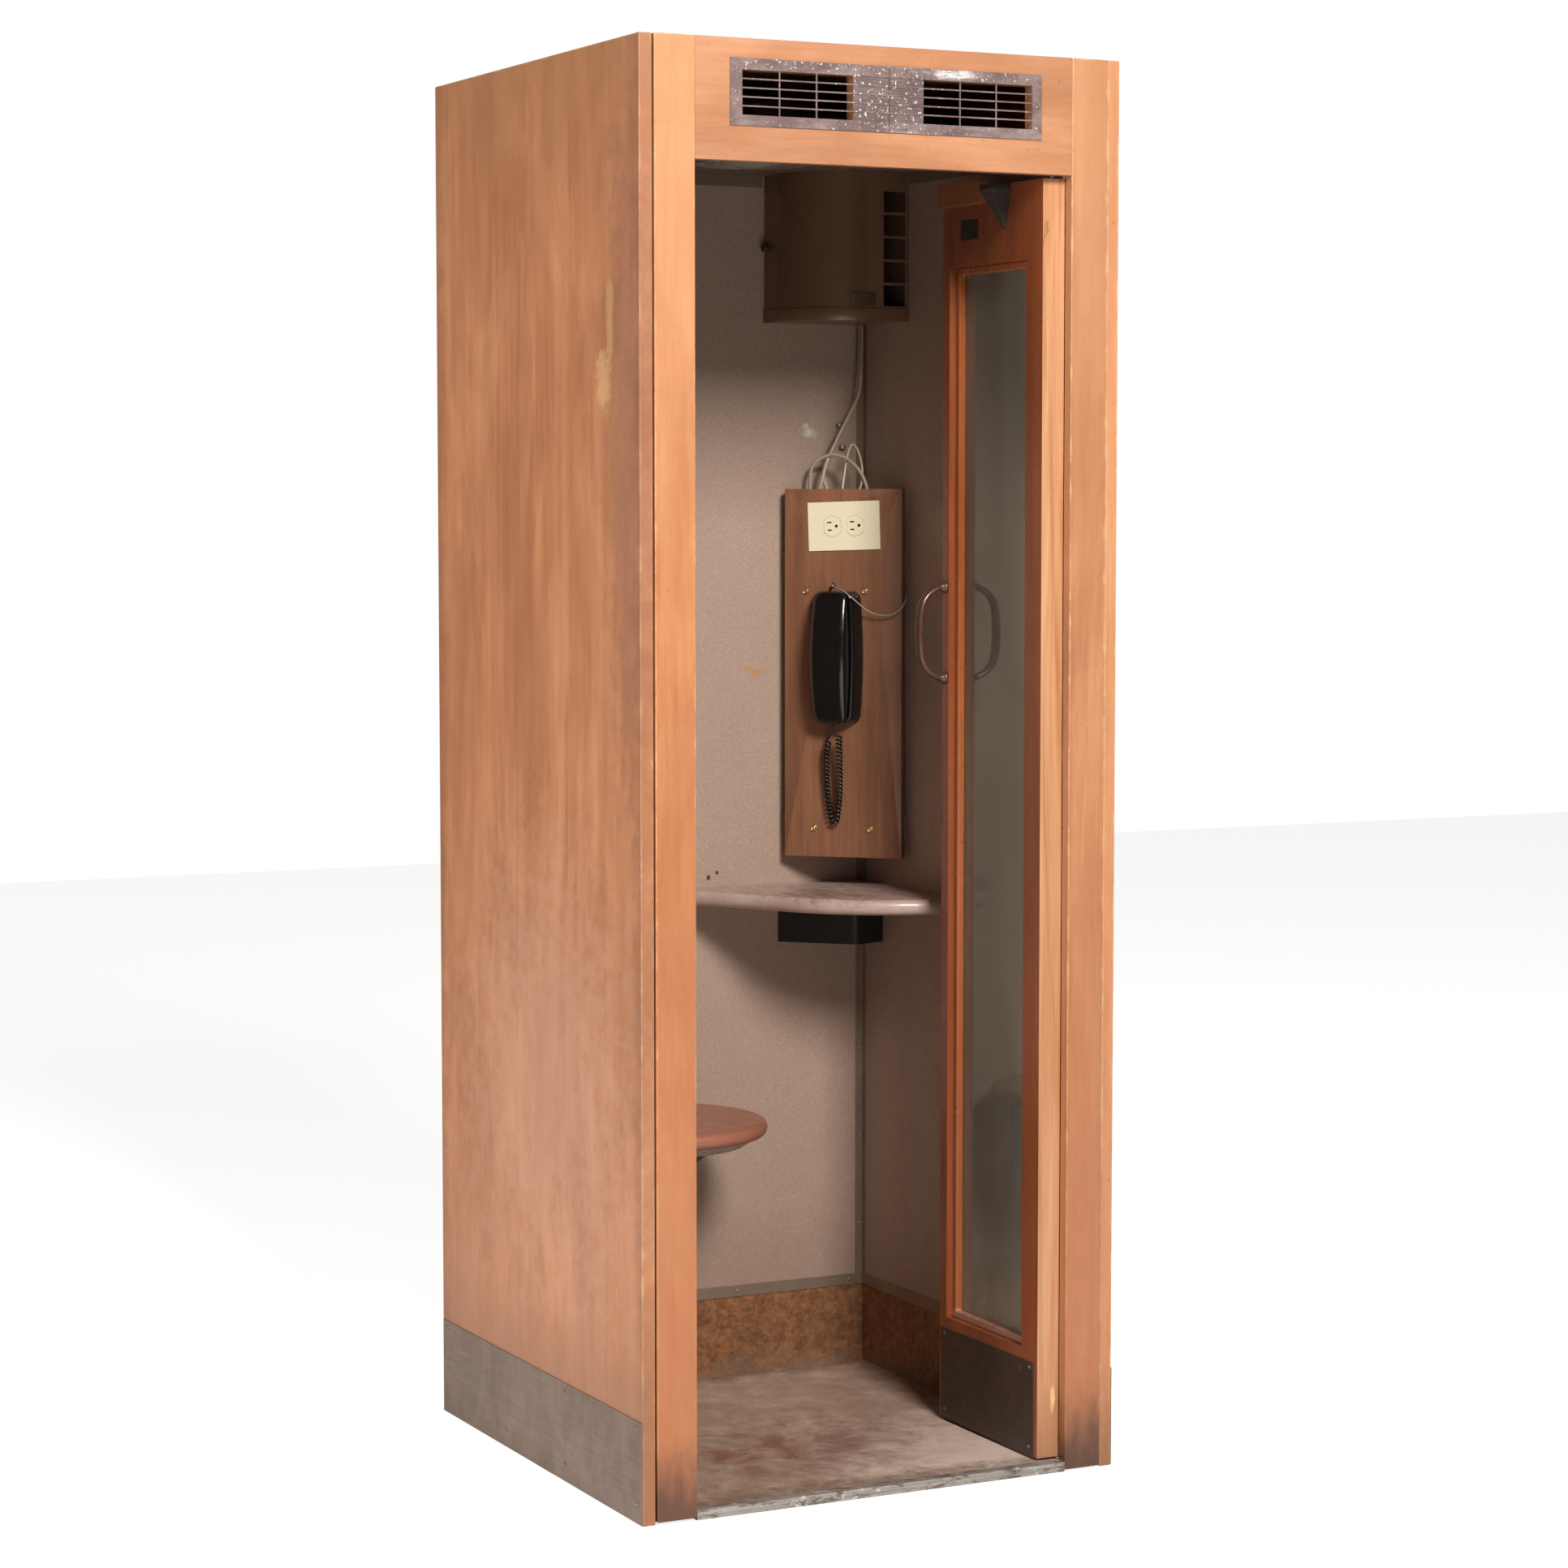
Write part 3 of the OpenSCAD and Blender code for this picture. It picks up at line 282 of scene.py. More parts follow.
def grime_foot(z0, z1, colour, strength=0.9, low=0.0, crown=0.0):
    """A dark dirty foot that fades upwards, a redder lower half and a yellower head."""
    def made(p):
        z = p.ragged(p.xyz(2), (38, 38, 14), 0.03, low=0.25)
        return [(p.range(z, 0.1, 1.3, low, 0.0, True), (0.38, 0.115, 0.038)),
                (p.range(z, 1.2, 2.1, 0.0, crown, True), (0.60, 0.33, 0.17)),
                (p.range(z, z0, z1, strength, 0.0, True), colour)]
    return made


def coated(name, colour, dark, speck=None, rough=0.45, metal=0.0, coat=0.0, scale=60, amount=0.5, bump=0.1,
           speck_at=0.66, seed=0.0):
    """Painted, moulded or anodised surface: tone drift, fine mottle, optional specks."""
    p = Paint(name, rough, metal, coat)
    off = (seed, seed * 1.7, seed * 0.6)
    drift = p.noise(6, 4, 0.6, 0.3, off)
    fine = p.noise(scale * 8, 2, 0.6, 0, off)
    c = p.mix(p.range(drift, 0.3, 0.7, 0.0, amount), colour, dark)
    c = p.mix(p.range(fine, 0.35, 0.65, 0.0, amount * 0.4), c, dark)
    if speck:
        c = p.mix(p.range(p.noise(scale * 2.5, 4, 0.7, 0, off), speck_at, speck_at + 0.03), c, speck)
    p.set("Base Color", c)
    p.set("Roughness", p.range(p.noise(scale, 4, 0.6, 0, off), 0.3, 0.7, max(rough - 0.07, 0.02), rough + 0.1))
    p.bump(fine, bump, 0.0004)
    return p


PALE = (0.65, 0.325, 0.165)
ORANGE = (0.54, 0.232, 0.105)
DEEP = (0.38, 0.142, 0.060)
RAW = (0.66, 0.46, 0.25)
GRIME = (0.035, 0.02, 0.014)
LEFT_X = -0.3895    # outer face of the left side panel
WALL_Y = 0.3515     # face of the back wall lining


def panel_marks(p):
    """Scuffs and scrapes of the left side panel, and a painted sheen low down."""
    y, z = p.xyz(1), p.xyz(2)
    near = p.times(p.spot((LEFT_X, -0.262, 1.628), (0.03, 0.026, 0.050), 0.5), 0.62)
    top = p.times(p.spot((LEFT_X, -0.282, 1.715), (0.03, 0.013, 0.085), 0.6), 0.42)
    plate = p.spot((LEFT_X, -0.128, 1.232), (0.03, 0.010, 0.085), 0.25)
    # Painted sheen: a broad pale pinkish patch low on the panel stands for a reflection
    low = p.times(p.spot((LEFT_X, -0.05, 0.62), (0.2, 0.36, 0.36), 0.9), 0.42)
    veil = p.times(p.spot((LEFT_X, -0.345, 1.55), (0.2, 0.085, 0.60), 0.9), 0.55)
    scratch = p.range(p.noise((1, 210, 9), 3, 0.6, 0.6, (0, 3, 0), (0.45, 0, 0)), 0.69, 0.715)
    cross = p.range(p.noise((1, 12, 190), 3, 0.6, 0.9, (0, 1, 0), (-0.5, 0, 0)), 0.715, 0.74)
    band = p.most(p.spot((LEFT_X, 0.20, 1.68), (0.2, 0.10, 0.16), 0.8),
                  p.spot((LEFT_X, -0.25, 1.70), (0.2, 0.10, 0.17), 0.8))
    edge_y = p.range(p.ragged(p.math("ABSOLUTE", y), 22, 0.02), 0.35, 0.39, 0.0, 0.55)
    crown = p.range(p.ragged(z, 9, 0.1, 5), 1.86, 2.1, 0.0, 0.45)
    # The first colour laid on is the painted sheen low down
    return [(low, (0.60, 0.35, 0.255)), (veil, (0.27, 0.125, 0.085)), (edge_y, (0.26, 0.105, 0.05)),
            (crown, (0.36, 0.17, 0.075)), (p.times(plate, 0.20), (0.62, 0.32, 0.15)),
            (near, (0.68, 0.41, 0.19)), (top, (0.66, 0.42, 0.20)),
            (p.times(p.times(p.most(scratch, cross), band), 0.7),
             (0.76, 0.52, 0.28)),
            (p.range(z, 0.15, 0.26, 0.45, 0.0), (0.25, 0.11, 0.055))]


wood_left = wood("left_panel_veneer", PALE, ORANGE, DEEP, rough=0.40, seed=1.0, edge=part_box("left_side_panel"),
                 edge_colour=RAW, edge_width=0.0035, stain=panel_marks, figure=0.7, clouds=0.70,
                 stretch=0.30, fine=0.55)
wood_right = wood("right_panel_veneer", PALE, ORANGE, DEEP, rough=0.40, seed=4.0,
                  edge=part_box("right_side_panel"), edge_colour=RAW, edge_width=0.0035,
                  stain=grime_foot(0.0, 0.2, (0.16, 0.07, 0.035), 0.6))
wood_back = wood("back_panel_veneer", PALE, ORANGE, DEEP, rough=0.5, seed=6.0, coat=0.1)
wood_roof = wood("roof_panel_wood", RAW, (0.55, 0.34, 0.18), (0.36, 0.20, 0.10), (1, 0, 0), 0.65, 0.0, 7.0)
STILE_ARRIS = (0.70, 0.44, 0.20)
stile_look = dict(rough=0.30, coat=0.35, edge_colour=STILE_ARRIS, clouds=0.6, stretch=0.14)
wood_ls = wood("left_stile_wood", (0.58, 0.275, 0.13), (0.49, 0.20, 0.082), (0.34, 0.115, 0.042), seed=2.0,
               edge=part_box("left_stile"), stain=grime_foot(0.01, 0.14, GRIME, 0.80, 0.55, 0.35), **stile_look)
wood_rs = wood("right_stile_wood", (0.54, 0.26, 0.135), (0.44, 0.185, 0.088), (0.31, 0.105, 0.044), seed=3.0,
               edge=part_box("right_stile"), stain=grime_foot(0.01, 0.15, GRIME, 0.85, 0.50, 0.35), **stile_look)
wood_head = wood("header_wood", (0.55, 0.275, 0.15), (0.46, 0.21, 0.105), (0.33, 0.13, 0.057), (1, 0, 0), 0.32,
                 0.3, 5.0, clouds=0.75, stretch=0.3)
wood_door = wood("door_leaf_wood", (0.36, 0.100, 0.032), (0.25, 0.060, 0.018), (0.13, 0.030, 0.010),
                 rough=0.30, seed=8.0, coat=0.4, bump=0.3)
wood_cleat = wood("cleat_wood", (0.36, 0.13, 0.045), (0.24, 0.075, 0.025), (0.12, 0.035, 0.014), (0, 1, 0),
                  0.4, 0.3, 9.0)
wood_bead = wood("bead_wood", (0.50, 0.155, 0.042), (0.38, 0.105, 0.027), (0.22, 0.05, 0.014), rough=0.26,
                 seed=10.0, coat=0.5)
wood_batten = wood("batten_wood", (0.70, 0.52, 0.32), (0.60, 0.42, 0.24), (0.42, 0.27, 0.14), (0, 1, 0), 0.7,
                   0.0, 11.0)
walnut = wood("board_walnut", (0.31, 0.140, 0.074), (0.225, 0.096, 0.049), (0.13, 0.052, 0.026), rough=0.42,
              seed=12.0, coat=0.1, fine=1.6, bump=0.15)
wood_base = wood("base_board_wood", (0.16, 0.10, 0.07), (0.10, 0.06, 0.04), (0.05, 0.03, 0.02), (1, 0, 0), 0.7,
                 0.0, 13.0)


# Pale dust lies on the lowest glazing bead
bead_height = wood_bead.ragged(wood_bead.xyz(2), 60, 0.006)
wood_bead.tint(wood_bead.range(bead_height, 0.186, 0.200, 0.75, 0.0, True), (0.50, 0.34, 0.24))


def wall_paint():
    """Mauve-beige speckled wall board with stains."""
    p = Paint("wall_speckle", 0.42, spec=0.4)
    off = (1.0, 2.0, 3.0)
    a, b, c = (0.37, 0.258, 0.200), (0.275, 0.18, 0.137), (0.47, 0.35, 0.283)
    speck = p.noise(560, 3, 0.7, 0, off)
    col = p.ramp(speck, (0.36, b), (0.50, a), (0.64, c))
    col = p.over(col, (0.36, 0.25, 0.20), p.noise(3.2, 5, 0.6, 0.5, off), 0.35, 0.8, 0.0, 0.30)
    streak = p.noise((26, 26, 1.6), 4, 0.6, 0.2, off)
    col = p.over(col, (0.30, 0.20, 0.15), streak, 0.55, 0.85, 0.0, 0.20)
    glue = p.most(p.spot((0.2505, WALL_Y, 1.574), (0.012, 0.02, 0.010), 0.9),
                  p.spot((0.2435, WALL_Y, 1.584), (0.006, 0.02, 0.005), 0.9))
    col = p.mix(p.times(glue, 0.8), col, (0.66, 0.60, 0.50))
    orange = p.most(p.spot((0.1565, WALL_Y, 1.180), (0.015, 0.02, 0.008), 0.8),
                    p.spot((0.135, WALL_Y, 1.186), (0.007, 0.02, 0.005), 0.8))
    col = p.mix(p.times(orange, 0.75), col, (0.42, 0.215, 0.075))
    hole = p.most(p.spot((0.0645, WALL_Y, 0.845), (0.0035, 0.02, 0.005), 0.5),
                  p.spot((0.080, WALL_Y, 0.852), (0.003, 0.02, 0.003), 0.5))
    col = p.mix(hole, col, (0.05, 0.03, 0.02))
    drip = p.range(p.noise(33, 5, 0.7, 0.3, (5.0, 1, 2)), 0.75, 0.765)
    col = p.mix(p.times(drip, 0.45), col, (0.36, 0.235, 0.13))
    foot = p.ragged(p.xyz(2), 30, 0.05)
    col = p.over(col, (0.24, 0.16, 0.12), foot, 0.16, 0.34, 0.40, 0.0, True)
    p.set("Base Color", col)
    p.set("Roughness", p.range(p.noise(14, 4, 0.6, 0, off), 0.3, 0.7, 0.36, 0.56))
    p.bump(speck, 0.20, 0.0004)
    return p


# Painted shade: batten faces in front of the wall right of x = 0.1 m, where the board's cleats show, get a dark
# wall tone
shaded_cleat_ends = wood_batten.times(wood_batten.range(wood_batten.xyz(0), 0.10, 0.101),
                              wood_batten.range(wood_batten.xyz(1), 0.3510, 0.3511, 1.0, 0.0))
wood_batten.tint(shaded_cleat_ends, (0.20, 0.135, 0.10))
walls = wall_paint()


def fibre():
    """Mottled brown fibreboard with dark grunge."""
    p = Paint("baseboard_fibre", 0.62, spec=0.35)
    n1 = p.noise(70, 6, 0.75, 0.6)
    col = p.ramp(n1, (0.32, (0.09, 0.036, 0.014)), (0.50, (0.22, 0.092, 0.037)), (0.68, (0.34, 0.155, 0.066)))
    col = p.over(col, (0.10, 0.05, 0.025), p.noise(9, 5, 0.7, 0.6), 0.45, 0.75, 0.0, 0.55)
    col = p.over(col, (0.03, 0.018, 0.01), p.noise(190, 3, 0.7), 0.64, 0.68, 0.0, 0.8)
    foot = p.ragged(p.xyz(2), 30, 0.02)
    col = p.over(col, (0.22, 0.145, 0.10), foot, 0.01, 0.055, 0.5, 0.0, True)
    soot = p.range(p.noise((26, 26, 40), 6, 0.75, 0.8, (3, 1, 0)), 0.60, 0.68, 0.0, 0.6)
    col = p.mix(soot, col, (0.035, 0.02, 0.012))
    p.set("Base Color", col)
    p.bump(n1, 0.35, 0.0006)
    return p


def worn_floor():
    """Worn floor covering: grey-beige with red-brown wear and dirt in the corners."""
    p = Paint("floor_sheet_worn", 0.5, spec=0.4)
    base = p.ramp(p.noise(24, 6, 0.7, 0.5), (0.33, (0.34, 0.225, 0.165)), (0.5, (0.405, 0.28, 0.21)),
                  (0.66, (0.49, 0.365, 0.29)))
    worn = p.noise((13, 13, 1), 9, 0.70, 0.5, (2.0, 1.0, 0))
    mid = p.spot((-0.08, -0.14, 0.015), (0.30, 0.21, 0.5), 0.9)
    red = p.times(p.range(worn, 0.38, 0.58), p.plus(p.times(mid, 0.75), 0.18))
    base = p.mix(red, base, (0.215, 0.088, 0.064))
    grey = p.range(p.noise((5, 5, 1), 5, 0.65, 0.6, (5, 2, 0)), 0.45, 0.65, 0.0, 0.45)
    base = p.mix(grey, base, (0.25, 0.17, 0.135))
    pale = p.plus(p.times(p.xyz(0), 0.8), p.times(p.xyz(1), -1.0))
    pale = p.ragged(pale, 13, 0.12, 5, 0.5)
    base = p.over(base, (0.72, 0.58, 0.50), pale, 0.18, 0.47, 0.0, 0.75, True)
    scuff = p.range(p.noise((90, 14, 1), 4, 0.7, 0.4, (0, 0, 0), (0, 0, 0.5)), 0.62, 0.70, 0.0, 0.22)
    base = p.mix(scuff, base, (0.58, 0.49, 0.43))
    d = p.near_edge((-0.3505, -0.3695, -1), (0.3505, WALL_Y, 0.03))
    dirt = p.range(p.ragged(d, 34, 0.03, 5), 0.0, 0.06, 0.75, 0.0, True)
    base = p.mix(dirt, base, (0.15, 0.085, 0.05))
    grit = p.range(p.noise(260, 3, 0.7), 0.68, 0.71)
    base = p.mix(p.times(grit, 0.6), base, (0.10, 0.06, 0.04))
    p.set("Base Color", base)
    p.set("Roughness", p.range(worn, 0.3, 0.7, 0.38, 0.66))
    p.bump(p.noise(120, 5, 0.7), 0.3, 0.0006)
    return p


def kick_paint(name, tone, seed):
    """Brown-grey kick metal with rust and scrapes."""
    p = Paint(name, 0.42, 0.25)
    off = (seed, seed, seed)
    dark = tuple(c * 0.62 for c in tone)
    pale = tuple(min(c * 1.5, 1) for c in tone)
    col = p.mix(p.range(p.noise((14, 14, 8), 5, 0.7, 0.6, off), 0.35, 0.7), tone, dark)
    scrape = p.noise((60, 9, 190), 4, 0.65, 0.3, off, (0.25, 0, 0))
    col = p.over(col, pale, scrape, 0.60, 0.72, 0.0, 0.55)
    rust = p.range(p.noise(26, 6, 0.75, 0.4, (seed + 3, 0, 0)), 0.62, 0.70, 0.0, 0.8)
    col = p.mix(rust, col, (0.22, 0.085, 0.035))
    chip = p.range(p.noise(110, 4, 0.7, 0, off), 0.70, 0.72)
    col = p.mix(p.times(chip, 0.7), col, (0.40, 0.33, 0.28))
    p.set("Base Color", col)
    p.set("Roughness", p.range(scrape, 0.3, 0.7, 0.32, 0.6))
    p.bump(p.math("SUBTRACT", p.noise(50, 4, 0.6), p.times(rust, 0.5)), 0.22, 0.0006)
    return p


def chipped_register():
    """Purple-brown paint with painted shade in the recess behind the bars, and white chips gathered along the
    top and the blank middle plates.
    """
    p = Paint("register_paint_chipped", 0.40, 0.1)
    a, b = (0.195, 0.130, 0.125), (0.115, 0.074, 0.070)
    col = p.mix(p.range(p.noise(50, 4, 0.6), 0.3, 0.7), a, b)
    haze = p.range(p.noise((16, 16, 30), 5, 0.7, 0.4), 0.46, 0.70, 0.0, 0.65)
    col = p.mix(haze, col, (0.34, 0.26, 0.25))
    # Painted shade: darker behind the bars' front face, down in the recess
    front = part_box("vent_registers")[0][1]
    col = p.over(col, (0.10, 0.065, 0.06), p.xyz(1), front + 0.0005, front + 0.0009, 0.0, 0.45)
    x, z = p.xyz(0), p.xyz(2)
    middle = p.range(p.math("ABSOLUTE", x), 0.05, 0.14, 1.0, 0.25, True)
    top = p.range(z, 2.062, 2.068, 0.0, 1.0)
    more = p.most(middle, top)
    chips = p.plus(p.noise(210, 5, 0.70, 0.3), p.times(more, 0.050))
    streaks = p.noise((40, 40, 330), 4, 0.6, 0.2, (0, 0, 0), (0, 0.35, 0))
    brushed = p.spot((0.112, -0.39, 2.0735), (0.040, 0.02, 0.0065), 0.9)
    smear = p.times(brushed, p.range(streaks, 0.36, 0.52))
    white = p.most(p.range(chips, 0.655, 0.675), p.times(smear, 0.85))
    col = p.mix(white, col, (0.80, 0.77, 0.76))
    p.set("Base Color", col)
    p.bump(p.math("SUBTRACT", p.noise(120, 4, 0.6), p.times(white, 0.8)), 0.3, 0.0005)
    return p


def worn_aluminium():
    """Threshold angle: scuffed bare metal with traces of white paint."""
    p = Paint("threshold_aluminium", 0.42, 0.45)
    scr = p.noise((6, 260, 260), 4, 0.65, 0.2)
    col = p.mix(p.range(scr, 0.35, 0.65), (0.46, 0.43, 0.40), (0.26, 0.225, 0.20))
    col = p.over(col, (0.76, 0.74, 0.71), p.noise(60, 5, 0.7, 0.5), 0.60, 0.64, 0.0, 0.85)
    soil = p.noise((30, 90, 90), 4, 0.7, 0.4, (3, 3, 3))
    col = p.over(col, (0.11, 0.075, 0.05), soil, 0.52, 0.60, 0.0, 0.8)
    p.set("Base Color", col)
    p.set("Roughness", p.range(scr, 0.3, 0.7, 0.28, 0.55))
    p.bump(scr, 0.25, 0.0004)
    return p


def shelf_paint():
    """Mauve-tan laminate, scuffed through to brown on the top near the board."""
    p = Paint("shelf_laminate_scuffed", 0.36, spec=0.45, coat=0.15)
    col = p.mix(p.range(p.noise(300, 3, 0.6), 0.4, 0.6), (0.46, 0.325, 0.275), (0.40, 0.275, 0.23))
    scuff = p.noise((60, 18, 60), 6, 0.72, 0.8, (1, 0, 0), (0, 0, 0.7))
    here = p.spot((0.21, 0.17, 0.83), (0.20, 0.15, 0.012), 0.9)
    worn = p.times(p.range(scuff, 0.45, 0.60), here)
    col = p.mix(p.times(worn, 0.8), col, (0.13, 0.065, 0.05))
    dust = p.range(p.noise(16, 5, 0.7, 0.3), 0.5, 0.75, 0.0, 0.45)
    col = p.mix(dust, col, (0.55, 0.48, 0.42))
    p.set("Base Color", col)
    p.set("Roughness", p.range(scuff, 0.3, 0.7, 0.28, 0.5))
    p.bump(scuff, 0.1, 0.0004)
    return p


def clear_glass():
    """Thin clear pane: mirror-like reflection over transparency, with wipe marks and dust."""
    p = Paint("pane_glass", 0.05)
    links = p.nt.links
    clear = p.node("ShaderNodeBsdfTransparent", (0.80, 0.85, 0.82))
    gloss = add_node(p.nt, "ShaderNodeBsdfGlossy", Color=(0.95, 1.0, 0.97, 1), Roughness=0.02)
    dust = p.node("ShaderNodeBsdfDiffuse", (0.62, 0.55, 0.46))
    fresnel = add_node(p.nt, "ShaderNodeFresnel", IOR=1.52)
    shine = p.nt.nodes.new("ShaderNodeMixShader")
    links.new(p.times(fresnel.outputs[0], 1.9, True), shine.inputs[0])
    links.new(clear.outputs[0], shine.inputs[1])
    links.new(gloss.outputs[0], shine.inputs[2])
    pane = p.nt.nodes.new("ShaderNodeMixShader")
    film = p.plus(p.range(p.noise((14, 14, 5), 5, 0.7, 0.3), 0.35, 0.8, 0.15, 0.30),
                  p.range(p.noise(420, 3, 0.6), 0.66, 0.72, 0.0, 0.25))
    low = p.range(p.xyz(2), 0.18, 0.34, 0.16, 0.0, True)
    links.new(p.plus(film, low, True), pane.inputs[0])
    links.new(shine.outputs[0], pane.inputs[1])
    links.new(dust.outputs[0], pane.inputs[2])
    links.new(pane.outputs[0], p.out.inputs["Surface"])
    return p


floor_mat = worn_floor()
fibre_mat = fibre()
kick_out = kick_paint("outer_kick_paint", (0.25, 0.175, 0.135), 1.0)
kick_in = kick_paint("leaf_kick_paint", (0.065, 0.042, 0.030), 5.0)
register_mat = chipped_register()
threshold_mat = worn_aluminium()
shelf_mat = shelf_paint()
glass_mat = clear_glass()
ceiling_mat = coated("ceiling_paint", (0.20, 0.135, 0.095), (0.09, 0.055, 0.04), (0.45, 0.38, 0.30), 0.5,
                     seed=2)
trim_mat = coated("trim_anodised", (0.27, 0.195, 0.142), (0.145, 0.098, 0.068), (0.48, 0.40, 0.30), 0.38, 0.30,
                  scale=40, seed=3)
fan_mat = coated("fan_enamel", (0.21, 0.118, 0.066), (0.125, 0.068, 0.038), None, 0.34, 0.15, 0.2, 50, 0.5,
                 0.08, seed=4)
steel_mat = coated("zinc_steel", (0.42, 0.40, 0.37), (0.20, 0.18, 0.16), (0.16, 0.08, 0.04), 0.4, 0.85,
                   scale=50)
dark_steel = coated("browned_steel", (0.16, 0.135, 0.115), (0.07, 0.055, 0.045), (0.25, 0.12, 0.06), 0.42, 0.7,
                    scale=50, seed=2)
screw_mat = coated("screw_steel", (0.30, 0.26, 0.22), (0.10, 0.07, 0.05), (0.16, 0.07, 0.03), 0.38, 0.8,
                   scale=80)
brass_mat = coated("tarnished_brass", (0.62, 0.43, 0.20), (0.34, 0.20, 0.08), (0.20, 0.12, 0.06), 0.30, 0.9,
                   scale=80)
black_box = coated("support_black", (0.012, 0.012, 0.011), (0.006, 0.006, 0.006), (0.05, 0.045, 0.04), 0.5,
                   scale=40, speck_at=0.70)
knob_mat = coated("knob_brown", (0.045, 0.024, 0.014), (0.022, 0.012, 0.008), None, 0.35, scale=60)
seat_mat = coated("seat_laminate", (0.335, 0.128, 0.080), (0.275, 0.100, 0.060), (0.42, 0.22, 0.16), 0.38,
                  coat=0.12, scale=55, amount=0.6, speck_at=0.70)
pan_mat = coated("seat_pan_paint", (0.48, 0.43, 0.39), (0.28, 0.235, 0.21), (0.12, 0.09, 0.07), 0.5, 0.2,
                 scale=60, amount=0.8, speck_at=0.60)
IVORY = ((0.84, 0.75, 0.54), (0.77, 0.68, 0.48))
ivory_mat = coated("ivory_plastic", *IVORY, None, 0.30, coat=0.2, scale=30, amount=0.35, bump=0.03)
phone_mat = coated("phone_gloss", (0.004, 0.004, 0.004), (0.007, 0.0065, 0.006), (0.03, 0.028, 0.025), 0.17,
                   coat=0.25, scale=70, amount=0.4, bump=0.02, speck_at=0.76)
key_mat = coated("key_plastic", (0.70, 0.69, 0.65), (0.6, 0.58, 0.54), None, 0.4)
coil_mat = coated("coil_rubber", (0.0055, 0.005, 0.005), (0.009, 0.008, 0.007), None, 0.24, coat=0.3, scale=90,
                  bump=0.05)
flat_mat = coated("flat_cord_vinyl", (0.40, 0.385, 0.36), (0.30, 0.28, 0.25), None, 0.34, scale=90, bump=0.05)
cable_mat = coated("cable_vinyl", (0.42, 0.335, 0.225), (0.27, 0.20, 0.13), (0.14, 0.10, 0.06), 0.45, scale=70,
                   amount=0.9)
cable_pale = coated("thin_cable_vinyl", (0.62, 0.52, 0.36), (0.42, 0.33, 0.22), None, 0.42, scale=70,
                    amount=0.8)
handle_mat = coated("handle_lacquer", (0.095, 0.042, 0.029), (0.055, 0.025, 0.018), (0.30, 0.20, 0.15), 0.28,
                    0.1, 0.3, 70, 0.6, 0.06, 0.70)
cam_mat = coated("cam_plate_dark", (0.050, 0.040, 0.034), (0.025, 0.020, 0.017), (0.14, 0.08, 0.05), 0.42,
                 0.35, scale=60)
label_mat = coated("label_plate", (0.135, 0.085, 0.050), (0.09, 0.055, 0.032), (0.30, 0.22, 0.14), 0.4, 0.4,
                   scale=90)
nylon_mat = coated("roller_nylon", (0.72, 0.68, 0.58), (0.5, 0.45, 0.36), None, 0.45)
lamp_mat = coated("lamp_can_paint", (0.42, 0.38, 0.33), (0.26, 0.22, 0.18), None, 0.35, 0.4)
bulb_mat = coated("bulb_frost", (0.85, 0.84, 0.80), (0.78, 0.76, 0.72), None, 0.5)


def end_grain_edge():
    """Adds the pale worn free edge to the door leaf's material, by the way the face points."""
    p = wood_door
    ny = p.times(p.node("ShaderNodeSeparateXYZ", p.normal).outputs[1], -1.0)
    front = p.times(p.range(ny, 0.35, 0.75), p.range(p.xyz(1), -0.362, -0.360, 1.0, 0.0))
    pale = p.ramp(p.noise((60, 60, 2.2), 4, 0.6, 0.8), (0.34, (0.38, 0.16, 0.065)), (0.5, (0.50, 0.24, 0.115)),
                  (0.66, (0.58, 0.31, 0.16)))
    bands = p.noise((140, 140, 3.0), 3, 0.6, 0.3)
    pale = p.over(pale, (0.40, 0.16, 0.06), bands, 0.5, 0.75, 0.0, 0.6)
    foot = p.ragged(p.xyz(2), (30, 30, 12), 0.03)
    pale = p.over(pale, (0.30, 0.13, 0.06), foot, 0.02, 0.16, 0.65, 0.0, True)
    crack = p.spot((0.2975, -0.3675, 0.110), (0.0045, 0.02, 0.020), 0.5)
    pale = p.mix(p.times(crack, 0.8), pale, (0.76, 0.52, 0.28))
    knock = p.range(p.noise((40, 40, 9), 5, 0.7, 0.6, (2, 0, 1)), 0.66, 0.70)
    pale = p.mix(p.times(knock, 0.5), pale, (0.20, 0.08, 0.035))
    p.tint(front, pale)


end_grain_edge()


def socket_ivory():
    """Ivory plastic with painted shade down in the slots and behind the plate's face."""
    p = coated("receptacle_ivory", *IVORY, None, 0.30, coat=0.2, scale=30, amount=0.35, bump=0.03)
    lo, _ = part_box("phone_board")
    depth = p.math("SUBTRACT", p.plus(p.xyz(0), p.xyz(1)), lo[0] + lo[1] + 0.200 * math.sqrt(0.5))
    # Painted shade: near black behind the plate's face and down in the slots
    p.tint(p.range(depth, -0.0032, -0.0026), (0.018, 0.013, 0.009))
    return p


socket_mat = socket_ivory()


# ---------------------------------------------------------------- mesh helpers

def middle(lo, hi):
    return tuple((a + b) / 2 for a, b in zip(lo, hi))


def piece(name, mat, body, stands_for=(), slot=None, data=None, smooth=True):
    """A visible object from a mesh, a curve or a list of (verts, faces)."""
    ob = bpy.data.objects.new(name, join(name, data) if isinstance(data, list) else data)
    scene.collection.objects.link(ob)
    ob.data.materials.append(mat.mat)
    if smooth and isinstance(ob.data, bpy.types.Mesh):
        for f in ob.data.polygons:
            f.use_smooth = True
    if body:
        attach(ob, body)
    if stands_for:
        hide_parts(*stands_for)
    return ob


